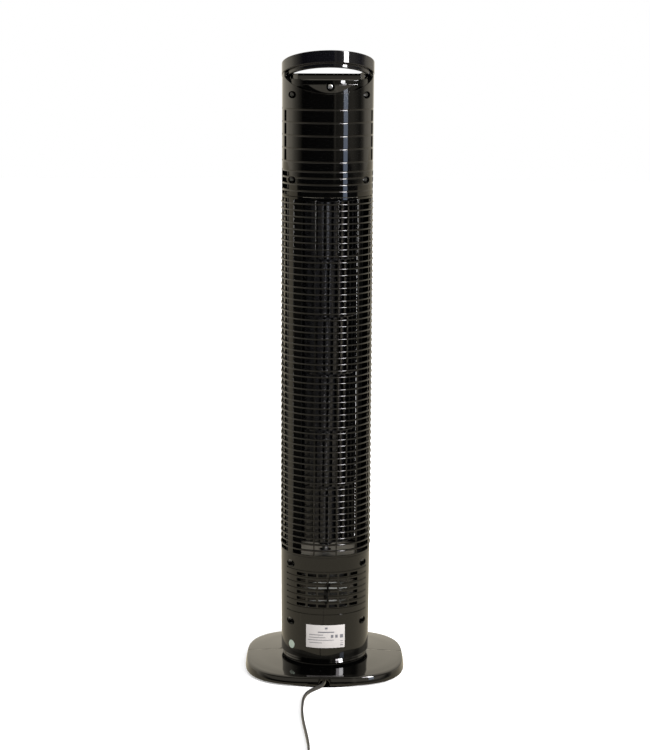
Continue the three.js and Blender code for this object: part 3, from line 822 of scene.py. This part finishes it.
def make_pedestal():
    plate = spun("pedestal_plate", [
        (10, 3.4), (STUB_R, 3.4), (STUB_R, 15.9), (54.2, 15.9), (54.6, 16.3), (53.9, 18.2), (53.6, 18.4),
        (16, 18.4), (16, 28), (10, 28)], steps=144)
    smooth(plate)
    finish(plate, gloss_black, "root", ["pedestal"])
    ring = spun("turntable_bearing_ring", [
        (47, 18.7), (53.6, 18.7), (53.8, 18.9), (52.8, 21.5), (52.5, 21.7), (47, 21.7)], steps=144)
    smooth(ring)
    finish(ring, gloss_black, "root", ["turntable_ring"])
    nut = spun("base_lock_nut", [(STUB_R + 0.3, 5), (29.6, 5), (30, 5.4), (30, 11.5), (29.6, 11.9),
                                 (STUB_R + 0.3, 11.9)], steps=72)
    grips = []
    for azimuth in range(0, 360, 30):
        x, y, _ = polar(30, azimuth) / MM
        grips.append(cylinder("grip", 2.6, 5, 11.9, x, y, 20))
    nut = join([nut, *grips], "base_lock_nut")
    smooth(nut)
    finish(nut, satin_black, "root", ["lock_nut"])


# ---- column covers ----
GROOVE_DEPTH = 0.5
GROOVE_HALF = 0.95
COARSE_GROOVES = [720.4 - 2 * BAR_PITCH * i for i in range(5)]
FINE_GROOVES = [644.8 - BAR_PITCH * i for i in range(4)]
VENT_ROWS = [132.8 - BAR_PITCH * i for i in range(6)]
VENT_COLUMNS = [-33.4, -19.9, -6.8, 6.8, 19.9, 33.4]
VENT_HALF_WIDTH = 5.4
VENT_HALF_HEIGHT = 2.0
LOWER_GROOVE_DROP = 2.9
LOWER_GROOVE_SWEEP = 63
SIDE_SLOT_ROWS = [664.4 + 2 * BAR_PITCH * i for i in range(4)]
SCREW_X = 46.1
SCREW_ROWS = {"upper": (738.2, 633.5), "lower": (143.8, 66.9)}
RECESS_R = 4.5
RECESS_FLOOR_Y = 17.0


def groove_points(radius, z):
    """Points down a shallow round groove, from its upper edge to its lower one."""
    points = []
    for i in range(7):
        angle = math.pi * i / 6
        depth = GROOVE_DEPTH * math.sin(angle)
        points.append((radius - depth, z + GROOVE_HALF * math.cos(angle)))
    return points


def radial_block(name, azimuth, width, low, high):
    piece = block(name, -width / 2, width / 2, 44, 70, low, high)
    if width > 1:
        bevel(piece, 0.5, 3, 40)
    return turn(piece, azimuth)


def rear_bore(name, radius, x, z, inner, outer, vertices=40):
    """A round bar along the direction in which the covers are screwed together."""
    bar = cylinder(name, radius, inner, outer, vertices=vertices)
    return shift(tip(bar, -math.pi / 2, "X"), x, 0, z)


def screw_places(which):
    return [(side * SCREW_X, z) for z in SCREW_ROWS[which] for side in (1, -1)]


def make_bosses(which):
    """Blind tubes that the screw heads sink into, trimmed to the inside of the cover."""
    bosses = []
    for x, z in screw_places(which):
        boss = rear_bore("boss", RECESS_R + 1.6, x, z, RECESS_FLOOR_Y - 2, 60)
        carve(boss, cylinder("trim", SHELL_R - 1.2 if which == "upper" else FOOT_R - 0.8, z - 20, z + 20,
                             vertices=128), "INTERSECT")
        carve(boss, rear_bore("recess", RECESS_R, x, z, RECESS_FLOOR_Y, 70))
        bosses.append(boss)
    return bosses


def carve_recesses(cover, which):
    for x, z in screw_places(which):
        carve(cover, rear_bore("recess", RECESS_R, x, z, 8, 70))


def lower_radius(z):
    return FOOT_R + (SHELL_R - FOOT_R) * (z - COLUMN_FOOT) / (GRILLE_FOOT - COLUMN_FOOT)


def lower_wall(name, start, end):
    top = GRILLE_FOOT - 0.3
    outer, inner = lower_radius(top), lower_radius(top) - WALL
    foot_outer, foot_inner = FOOT_R, FOOT_R - WALL
    profile = [(foot_inner, COLUMN_FOOT), (foot_outer - 0.5, COLUMN_FOOT), (foot_outer, COLUMN_FOOT + 0.5),
               (outer, top - 0.5), (outer - 0.5, top), (inner, top)]
    return spun(name, profile, start, end, 96)


def make_lower_rear():
    cover = lower_wall("lower_rear_cover", -SEAM, SEAM)
    cutters = []
    lines = [VENT_ROWS[0] + 5.1] + [z - LOWER_GROOVE_DROP for z in VENT_ROWS] + [VENT_ROWS[-1] - 11.2]
    for z in lines:
        radius = lower_radius(z)
        section = [(radius + 2, z + 0.8), (radius, z + 0.8), (radius - 1.1, z + 0.5), (radius - 1.1, z - 0.5),
                   (radius, z - 0.8), (radius + 2, z - 0.8)]
        cutters.append(spun("line", section, -LOWER_GROOVE_SWEEP, LOWER_GROOVE_SWEEP, 64))
    carve(cover, join(cutters, "groove_cutter"))
    slots = []
    for z in VENT_ROWS:
        for x in VENT_COLUMNS:
            slot = block("vent", x - VENT_HALF_WIDTH, x + VENT_HALF_WIDTH, 30, 70,
                         z - VENT_HALF_HEIGHT, z + VENT_HALF_HEIGHT)
            slots.append(slot)
    carve(cover, join(slots, "vent_cutter"))
    carve_recesses(cover, "lower")
    parting = [radial_block("line", azimuth, 0.5, low, high)
               for azimuth, low, high in ((-1.2, 137, 157), (-9.2, 67.6, 76), (-9.2, 20, 36))]
    for line in parting:
        carve(line, cylinder("keep", FOOT_R - 0.1, 10, 170, vertices=128))
        carve(cover, line)
    bevel(cover, 0.18, 2, 40)
    cover = join([cover, *make_bosses("lower")], "lower_rear_cover")
    smooth(cover, 42)
    on_shell(cover, "rear_cover_lower")


def make_front_lower():
    cover = lower_wall("lower_front_cover", 180 - SEAM, 180 + SEAM)
    smooth(cover, 42)
    on_shell(cover, "front_cover_lower")


def slanted_block(name, section, half_width):
    """An outline of (depth, height) points across the column, pulled out to both sides of its middle."""
    piece = outline(name, [(-half_width, y, z) for y, z in section])
    bpy.ops.mesh.edge_face_add()
    bpy.ops.mesh.extrude_region_move(TRANSFORM_OT_translate={"value": (2 * half_width * MM, 0, 0)})
    take_all()
    bpy.ops.mesh.normals_make_consistent(inside=False)
    done()
    return piece


def climb(y):
    """How much higher than on the axis the hoop is: an even slope that sags in front of the axis."""
    sag = HOOP_DIP * math.sin(math.pi * y / HOOP_R) ** 2 if y < 0 else 0
    return y * HOOP_SLOPE - sag


def lean(piece):
    for vertex in piece.data.vertices:
        vertex.co.z += climb(vertex.co.y / MM) * MM
    return piece


def above_hoop():
    edge = [(y, HOOP_FACE_Z - 0.3 + climb(y)) for y in range(-70, 71, 2)]
    return slanted_block("above_hoop", [*edge, (70, 830), (-70, 830)], 70)


def make_upper_rear():
    low, high = GRILLE_HEAD + 0.3, 800
    inner = SHELL_R - WALL
    profile = [(inner, high), (SHELL_R, high)]
    for z in [*COARSE_GROOVES, *FINE_GROOVES]:
        profile += groove_points(SHELL_R, z)
    profile += [(SHELL_R, low + 0.6), (SHELL_R - 0.6, low), (inner, low)]
    cover = spun("upper_rear_cover", profile, -SEAM, SEAM, 112)
    carve(cover, above_hoop())
    carve(cover, slanted_block("hand_hole", [(15.2, 759.8), (70, 733.6), (70, 830), (15.2, 830)], 70))
    bevel(cover, 0.7, 3, 42)
    slots = [radial_block("slot", side, 6.9, z - 6.8, z + 6.8)
             for z in SIDE_SLOT_ROWS for side in (-70.5, 70.5)]
    carve(cover, join(slots, "slot_cutter"))
    windows = []
    for z in (640.8, 632.8, 624.8, 616.9):
        for start, end in ((-86.5, -60.4), (75, 86.5)):
            half = 2.95 if z > 620 else 2.2
            section = [(50, z - half), (60, z - half), (60, z + half), (50, z + half)]
            windows.append(spun("window", section, start, end, 16))
    carve(cover, join(windows, "window_cutter"))
    carve_recesses(cover, "upper")
    dimple = radial_pin("dimple", 2.5, -0.8, 695.7, 55.7, 60)
    carve(cover, dimple)
    bevel(cover, 0.2, 2, 42)
    cover = join([cover, make_scoop(), *make_bosses("upper")], "upper_rear_cover")
    smooth(cover, 44)
    on_shell(cover, "rear_cover_upper")


SCREW_Z = 748.2
SCREW_WELL_R = 5.2
SCREW_SEAT_Y = 44.6
LEDGE_EDGE = [(31.3, 757.4), (43.6, 757.4), (45, 756.2)]
SCOOP_EDGE = [(45, 750.8), (49.4, 750.6), (56.8, 740.4)]


def make_scoop():
    """The sloping floor of the hand hole, with a ledge behind the panel and a sunk screw seat."""
    scoop = slanted_block("scoop", [*LEDGE_EDGE, *SCOOP_EDGE, (56.8, 737.4), (43, 748.8), (31.3, 748.8)], 60)
    bevel(scoop, 0.5, 3, 30)
    carve(scoop, cylinder("inside", SHELL_R - 0.9, 700, 800, vertices=160), "INTERSECT")
    cheeks = slanted_block("cheeks", [(15.2, 759.8), (33, 751.3), (33, 748.9), (15.2, 757.4)], 60)
    carve(cheeks, cylinder("inside", SHELL_R - 0.9, 700, 800, vertices=160), "INTERSECT")
    core = cylinder("core", 50.2, 700, 800, vertices=128)
    carve(core, block("behind_panel", -60, 60, 31.3, 60, 690, 810))
    carve(cheeks, core)
    seat = rear_bore("seat", SCREW_WELL_R + 1.4, 0, SCREW_Z, 41, 54)
    below = [(40, 756), (44.8, 755.4), (44.8, 750.6), (49.2, 750.4), (56.6, 740.2), (56.6, 700), (40, 700)]
    carve(seat, slanted_block("below_floor", below, 60), "INTERSECT")
    for part in (scoop, seat):
        carve(part, rear_bore("screw_well", SCREW_WELL_R, 0, SCREW_Z, SCREW_SEAT_Y, 70))
        carve(part, rear_bore("shank_hole", 1.8, 0, SCREW_Z, 28, SCREW_SEAT_Y + 1, 24))
    return join([scoop, cheeks, seat], "scoop")


def make_front_upper():
    low = GRILLE_HEAD + 0.3
    inner = SHELL_R - WALL
    profile = [(inner, 800), (SHELL_R, 800), (SHELL_R, low + 0.6), (SHELL_R - 0.6, low), (inner, low)]
    cover = spun("upper_front_cover", profile, 180 - SEAM, 180 + SEAM, 112)
    carve(cover, above_hoop())
    bevel(cover, 0.2, 2, 42)
    smooth(cover, 44)
    on_shell(cover, "front_cover_upper")


def make_hoop():
    face, top = HOOP_FACE_Z, HOOP_TOP_Z
    profile = [(HOOP_BORE_R, HOOP_LIP_Z), (HOOP_LIP_R, HOOP_LIP_Z), (HOOP_LIP_R, face), (HOOP_R, face),
               (HOOP_R, top), (HOOP_BORE_R, top)]
    hoop = lean(spun("carrying_hoop", profile, steps=180))
    bevel(hoop, 0.9, 4, 40)
    smooth(hoop, 40)
    on_shell(hoop, "top_hoop", hoop_black)


def make_screws():
    """Pan heads with a cross recess, one modelled and the rest copied."""
    head = cylinder("head", 3.2, 0, 2.3, vertices=40)
    pick_edges(head, lambda a, b: a.z > 2 * MM and b.z > 2 * MM)
    bpy.ops.mesh.bevel(offset=1.1 * MM, segments=5, affect="EDGES")
    done()
    for turned in (0, math.pi / 2):
        bar = block("bar", -1.9, 1.9, -0.42, 0.42, 1.1, 5)
        carve(head, tip(bar, turned + 0.35, "Z"))
    shank = cylinder("shank", 1.5, -9, 0.2, vertices=24)
    screw = join([head, shank], "cover_screw")
    smooth(screw, 40)
    places = screw_places("upper") + screw_places("lower")
    for number, (x, z) in enumerate(places, 1):
        one = duplicate(screw, f"cover_screw_{number}")
        tip(tip(one, number * 0.7, "Z"), -math.pi / 2, "X")
        shift(one, x, RECESS_FLOOR_Y - 0.1, z)
        on_tower(one, zinc_plate)
    shift(tip(screw, -math.pi / 2, "X"), 0, SCREW_SEAT_Y + 0.1, SCREW_Z)
    screw.name = "handle_screw_head"
    on_tower(screw, zinc_plate, ["handle_screw"])


# ---- grilles ----
REAR_STRIPS = [             # (start, end) in degrees of each upright of the grille
    (-SEAM, -86.5), (-60.2, -50.3), (-19.3, -17.8), (10.1, 11.5), (39.3, 41), (69.5, 74.5), (86.5, SEAM)]
FRONT_WALL = 53.8
FRONT_STRIPS = [(-SEAM, -FRONT_WALL), (-0.7, 0.7), (FRONT_WALL, SEAM)]
BAR_SECTION = [             # (radius, height above the bar's middle)
    (55.2, -1.0), (57.3, -1.0), (57.9, -0.75), (58.15, -0.35), (58.2, 0), (58.15, 0.35), (57.9, 0.75),
    (57.3, 1.0), (55.2, 1.0)]


def make_grille(name, middle, strips, bar_sweep):
    section = [(r, TOP_BAR_Z + z) for r, z in BAR_SECTION]
    bars = spun("bars", section, middle - bar_sweep, middle + bar_sweep, 60)
    stack(bars, BAR_COUNT, -BAR_PITCH)
    inner = SHELL_R - WALL
    parts = [bars]
    for low, high in ((GRILLE_FOOT, GRILLE_FOOT + 2.4), (GRILLE_HEAD - 2.4, GRILLE_HEAD)):
        rim = [(inner, low), (SHELL_R, low), (SHELL_R, high), (inner, high)]
        parts.append(spun("rim", rim, middle - SEAM, middle + SEAM, 60))
    for start, end in strips:
        outer = SHELL_R if end - start > 3 else SHELL_R - 0.4
        wall = [(inner, GRILLE_FOOT), (outer, GRILLE_FOOT), (outer, GRILLE_HEAD), (inner, GRILLE_HEAD)]
        steps = max(2, round((end - start) / 3))
        strip = spun("strip", wall, middle + start, middle + end, steps)
        bevel(strip, 0.45, 3, 40)
        parts.append(strip)
    grille = join(parts, name)
    smooth(grille, 44)
    return grille


def make_grilles():
    rear = make_grille("intake_grille", 0, REAR_STRIPS, SEAM)
    on_shell(rear, "rear_grille")
    front = make_grille("outlet_grille", 180, FRONT_STRIPS, SEAM)
    on_shell(front, "front_grille")


# ---- control panel ----
BUTTONS = ["button_speed", "button_timer", "button_power", "button_mode", "button_swing"]
BUTTON_CIRCLE_R = 30.0
BUTTON_R = 5.6


def on_panel(piece):
    """From the panel's own plane, where its face is at height 0, into the tower."""
    return shift(tip(piece, PANEL_LEAN, "X"), 0, PANEL_BACK_Y, PANEL_BACK_Z)


def button_centre(i):
    x, y, _ = polar(BUTTON_CIRCLE_R, 180 + (i - 2) * 30) / MM
    return x, y - PANEL_BACK_Y


def panel_solid(name, radius, back, low, under):
    body = cylinder(name, radius, low, 790, vertices=160)
    carve(body, block("behind", -80, 80, back, 90, 700, 820))
    return carve(body, on_panel(block("over", -100, 100, -150, 60, under, 60)))


def make_panel():
    panel = panel_solid("touch_panel", HOOP_BORE_R - 0.3, PANEL_BACK_Y, 742, 0)
    carve(panel, panel_solid("hollow", 47.8, PANEL_BACK_Y - 2, 735, -2.4))
    for i in range(len(BUTTONS)):
        x, y = button_centre(i)
        carve(panel, on_panel(cylinder("hole", BUTTON_R + 0.35, -10, 10, x, y, 64)))
    carve(panel, on_panel(block("window", -13, 13, -40, -35, -10, 10)))
    bevel(panel, 0.35, 3, 40)
    smooth(panel, 40)
    on_tower(panel, gloss_black, ["control_panel"])
    window = block("display_window", -12.7, 12.7, -39.7, -35.3, -2.4, 0.1)
    bevel(window, 0.3, 3)
    smooth(window)
    on_tower(on_panel(window), smoked_lens, ["indicator_lens"])


def make_buttons():
    cap = cylinder("cap", BUTTON_R, -3.4, 0.8, vertices=64)
    pick_faces(cap, lambda centre, normal: normal.z > 0.9)
    bpy.ops.mesh.inset(thickness=0.9 * MM)
    bpy.ops.mesh.inset(thickness=1.2 * MM, depth=-0.35 * MM)
    bpy.ops.mesh.inset(thickness=1.6 * MM, depth=-0.15 * MM)
    done()
    bevel(cap, 0.35, 3, 40)
    flange = cylinder("flange", BUTTON_R + 1.5, -4, -2.8, vertices=64)
    bevel(flange, 0.2, 2)
    stem = cylinder("stem", 2, -7.4, -3.5, vertices=24)
    button = join([cap, flange, stem], "button")
    smooth(button)
    for i, node in enumerate(BUTTONS):
        x, y = button_centre(i)
        one = duplicate(button, f"{node}_cap")
        shift(one, x, y, 0)
        on_tower(on_panel(one), satin_black, [node], body=node)
    bpy.data.objects.remove(button)


# ---- impeller ----
IMPELLER_R = 37.5
IMPELLER_FOOT = 171.5
IMPELLER_STAGE = 72.6
STAGES = 6
BLADES = 24
BLADE_STEPS = 8
BLADE_LENGTH = 11.5
BLADE_START = -5.0


def make_blade():
    """One curved blade: a strip whose slope falls from its inner edge to its outer one."""
    blade = grid("blade", BLADE_STEPS)
    x, y = 5.6, 37.2
    line = [(x, y)]
    for i in range(BLADE_STEPS):
        slope = math.radians(8 + 40 * (i + 0.5) / BLADE_STEPS)
        x -= BLADE_LENGTH / BLADE_STEPS * math.cos(slope)
        y -= BLADE_LENGTH / BLADE_STEPS * math.sin(slope)
        line.append((x, y))
    for vertex in blade.data.vertices:
        step = round((0.5 - vertex.co.x) * BLADE_STEPS)
        upper = vertex.co.y > 0
        x, y = line[step]
        z = IMPELLER_FOOT + (IMPELLER_STAGE - 0.6 if upper else 0.6)
        vertex.co = Vector((x, y, z)) * MM
    return thicken(blade, 0.9)


def make_impeller():
    blade = make_blade()
    parts = []
    pitch = 360 / BLADES
    for stage in range(STAGES):
        for i in range(BLADES):
            one = duplicate(blade, "blade")
            turn(one, (i + 0.5 * (stage % 2)) * pitch + BLADE_START)
            parts.append(shift(one, 0, 0, stage * IMPELLER_STAGE))
    bpy.data.objects.remove(blade)
    for stage in range(STAGES + 1):
        z = IMPELLER_FOOT + stage * IMPELLER_STAGE
        section = [(0.01, z - 0.8), (IMPELLER_R - 0.4, z - 0.8), (IMPELLER_R, z - 0.5), (IMPELLER_R, z + 0.5),
                   (IMPELLER_R - 0.4, z + 0.8), (0.01, z + 0.8)]
        parts.append(spun("plate", section, steps=72))
    top = IMPELLER_FOOT - 0.5
    hub = spun("hub", [(4.3, 161), (8.6, 161), (9, 161.4), (9, top), (4.3, top)], steps=40)
    head = IMPELLER_FOOT + STAGES * IMPELLER_STAGE
    pin = cylinder("pin", 3.5, head, 621, vertices=32)
    drum = join([*parts, hub, pin], "cross_flow_drum")
    smooth(drum, 40)
    on_tower(drum, blade_black, ["impeller"], body="impeller")


# ---- duct, motor and swing drive ----
DUCT_FOOT = 153.3
DUCT_HEAD = 613.7
STACK_HALF = 36.0           # half of the motor's square core
BAND_ROWS = (94, 110.8, 117.8)


def arc_wall(name, start_r, end_r, start, end):
    """An upright curved sheet whose radius grows evenly with its azimuth."""
    wall = grid(name, 32)
    for vertex in wall.data.vertices:
        share = vertex.co.x + 0.5
        z = DUCT_HEAD if vertex.co.y > 0 else DUCT_FOOT
        vertex.co = polar(start_r + (end_r - start_r) * share + 0.8, start + (end - start) * share, z)
    bevel(thicken(wall, 1.6), 0.3, 2, 50)
    return smooth(wall)


def make_duct():
    volute = arc_wall("volute_sheet", 42, 51.6, -50, -128)
    on_tower(volute, duct_black, ["volute_wall"])
    tongue = arc_wall("tongue_sheet", 40.5, 51.6, 78, 128)
    on_tower(tongue, duct_black, ["duct_tongue"])


def square(name, half, low, high):
    return block(name, -half, half, -half, half, low, high)


def make_laminations():
    """Forty stamped sheets, stacked round the bore of the rotor."""
    plate = square("sheet", STACK_HALF, 92, 92.68)
    pick_edges(plate, lambda a, b: abs(a.z - b.z) > 0.4 * MM)
    bpy.ops.mesh.bevel(offset=3.5 * MM, segments=4, affect="EDGES")
    done()
    carve(plate, cylinder("bore", 20.2, 80, 130))
    stack(plate, 40, 0.75)
    for azimuth in (45, 135, 225, 315):
        x, y, _ = polar(44, azimuth) / MM
        rivet = cylinder("rivet", 2.4, 91.6, 122.4, x, y, 24)
        plate = join([plate, rivet], "motor_stack")
    smooth(plate)
    on_tower(plate, lamination_varnish, ["motor_laminations"])
    tape = square("motor_tape", STACK_HALF + 0.6, 99.6, 105.6)
    carve(tape, square("inner", STACK_HALF + 0.1, 90, 120))
    bevel(tape, 0.15, 2, 40)
    on_tower(tape, satin_black)
    bands = []
    for z in BAND_ROWS:
        band = square("band", STACK_HALF + 0.9, z - 0.9, z + 0.9)
        bands.append(carve(band, square("inner", STACK_HALF + 0.1, 90, 120)))
    bands = join(bands, "motor_clamp_bands")
    bevel(bands, 0.2, 2, 40)
    on_tower(bands, motor_zinc)


def make_windings():
    for node, low, high in (("motor_winding_top", 122.4, 130), ("motor_winding_bottom", 84.1, 91.6)):
        middle, half = (low + high) / 2, (high - low) / 2
        section = [(27 + 5 * math.cos(a), middle + half * math.sin(a))
                   for a in (i * math.tau / 14 for i in range(14))]
        coil = spun(node + "_wire", section, steps=96)
        for vertex in coil.data.vertices:
            angle = math.atan2(vertex.co.y, vertex.co.x)
            vertex.co.z = (middle + (vertex.co.z / MM - middle) * (0.93 + 0.07 * math.cos(12 * angle))) * MM
        smooth(coil, 60)
        on_tower(coil, copper_wire, [node])


def make_motor_covers():
    for node, closed, open_end in (("motor_cover_top", 134, 122.3), ("motor_cover_bottom", 80, 91.7)):
        way = 1 if closed > open_end else -1
        section = [(6, closed), (32.5, closed), (34.2, closed - 0.7 * way), (35, closed - 2.4 * way),
                   (35, open_end), (33, open_end), (33, closed - 2.2 * way), (6, closed - 2.2 * way)]
        cover = spun(node + "_shell", section, steps=96)
        slots = [radial_opening(azimuth, closed) for azimuth in range(0, 360, 45)]
        carve(cover, join(slots, "slots"))
        bevel(cover, 0.2, 2, 40)
        smooth(cover, 40)
        on_tower(cover, satin_black, [node])


def radial_opening(azimuth, z):
    opening = block("opening", -3, 3, 14, 27, z - 6, z + 6)
    bevel(opening, 1.4, 3, 40)
    return turn(opening, azimuth + 22.5)


CARRIED_OVER = {
    "pivot_retainer": steel_sheet, "control_board": circuit_green, "lower_bulkhead": satin_black,
    "upper_bulkhead": satin_black, "bearing_holder": rubber_black, "upper_bush": copper_wire,
    "control_cable": lead_pvc, "run_capacitor": satin_black, "column_floor": satin_black,
    "thrust_washer": natural_nylon, "swing_motor": motor_zinc, "swing_motor_beam": satin_black,
    "swing_crank": natural_nylon, "swing_link": steel_sheet, "impeller_shaft": steel_sheet,
    "motor_rotor": steel_sheet,
}


def paint_carried_over():
    for node, material in CARRIED_OVER.items():
        part = nodes[node]
        part.data.materials.clear()
        part.data.materials.append(material)


# ---- rating label and inspection sticker ----
STICKER_THICK = 0.12


def curved_patch(name, radius_at, width, low, high, x_middle, lift, columns=24, rows=6):
    """A thin sheet that lies on the cover: flat grid first, then laid round the column."""
    patch = grid(name, columns, rows)
    for vertex in patch.data.vertices:
        z = low + (high - low) * (vertex.co.y + 0.5)
        radius = radius_at(z) + lift
        x = x_middle + width * vertex.co.x
        vertex.co = Vector((x, math.sqrt(radius * radius - x * x), z)) * MM
    return thicken(patch, STICKER_THICK)


LABEL_WIDTH = 49.4
LABEL_LOW = 37.2
LABEL_HIGH = 67.4
LABEL_X = 2.3


def make_label():
    """Plain bars and boxes stand where a rating plate has its print."""
    label = curved_patch("rating_label", lower_radius, LABEL_WIDTH, LABEL_LOW, LABEL_HIGH, LABEL_X, 0.08)
    smooth(label)
    on_tower(label, paper_white)
    left = LABEL_X + LABEL_WIDTH / 2
    bars = [                # (distance from the left edge, width, low, high)
        (25.4, 3.4, 62.2, 64.6), (25.2, 21, 57.4, 58.9), (12.6, 17.6, 54.0, 54.9), (14, 20.4, 50.6, 51.4),
        (18.6, 33.2, 47.2, 48.0), (12, 16, 43.6, 44.4), (33, 3.2, 50.6, 54.6), (38.6, 3.2, 50.6, 54.6),
        (45.2, 4.2, 50.2, 54.8), (45.4, 3.6, 45.6, 46.4), (45.4, 3.6, 42.6, 43.4), (45.4, 3.6, 39.8, 41.2),
    ]
    marks = []
    for from_left, width, low, high in bars:
        columns = max(2, round(width / 2))
        marks.append(curved_patch("bar", lower_radius, width, low, high, left - from_left, 0.16, columns, 1))
    print_marks = join(marks, "rating_label_print")
    on_tower(print_marks, print_grey)


def make_sticker():
    bpy.ops.mesh.primitive_circle_add(vertices=40, radius=5.4 * MM, fill_type="TRIFAN")
    sticker = named("test_sticker")
    edit(sticker)
    take_all()
    bpy.ops.mesh.subdivide(number_cuts=3)
    done()
    for vertex in sticker.data.vertices:
        across, up = vertex.co.x / MM, vertex.co.y / MM
        z = 36.4 + up
        radius = lower_radius(z) + 0.08
        azimuth = -52.6 - math.degrees(across / radius)
        vertex.co = polar(radius, azimuth, z)
    smooth(thicken(sticker, STICKER_THICK))
    on_tower(sticker, sticker_mint)


make_base()
make_foot_pads()
make_pedestal()
make_lower_rear()
make_front_lower()
make_upper_rear()
make_front_upper()
make_hoop()
make_screws()
make_grilles()
make_panel()
make_buttons()
make_impeller()
make_duct()
make_laminations()
make_windings()
make_motor_covers()
make_label()
make_sticker()
paint_carried_over()
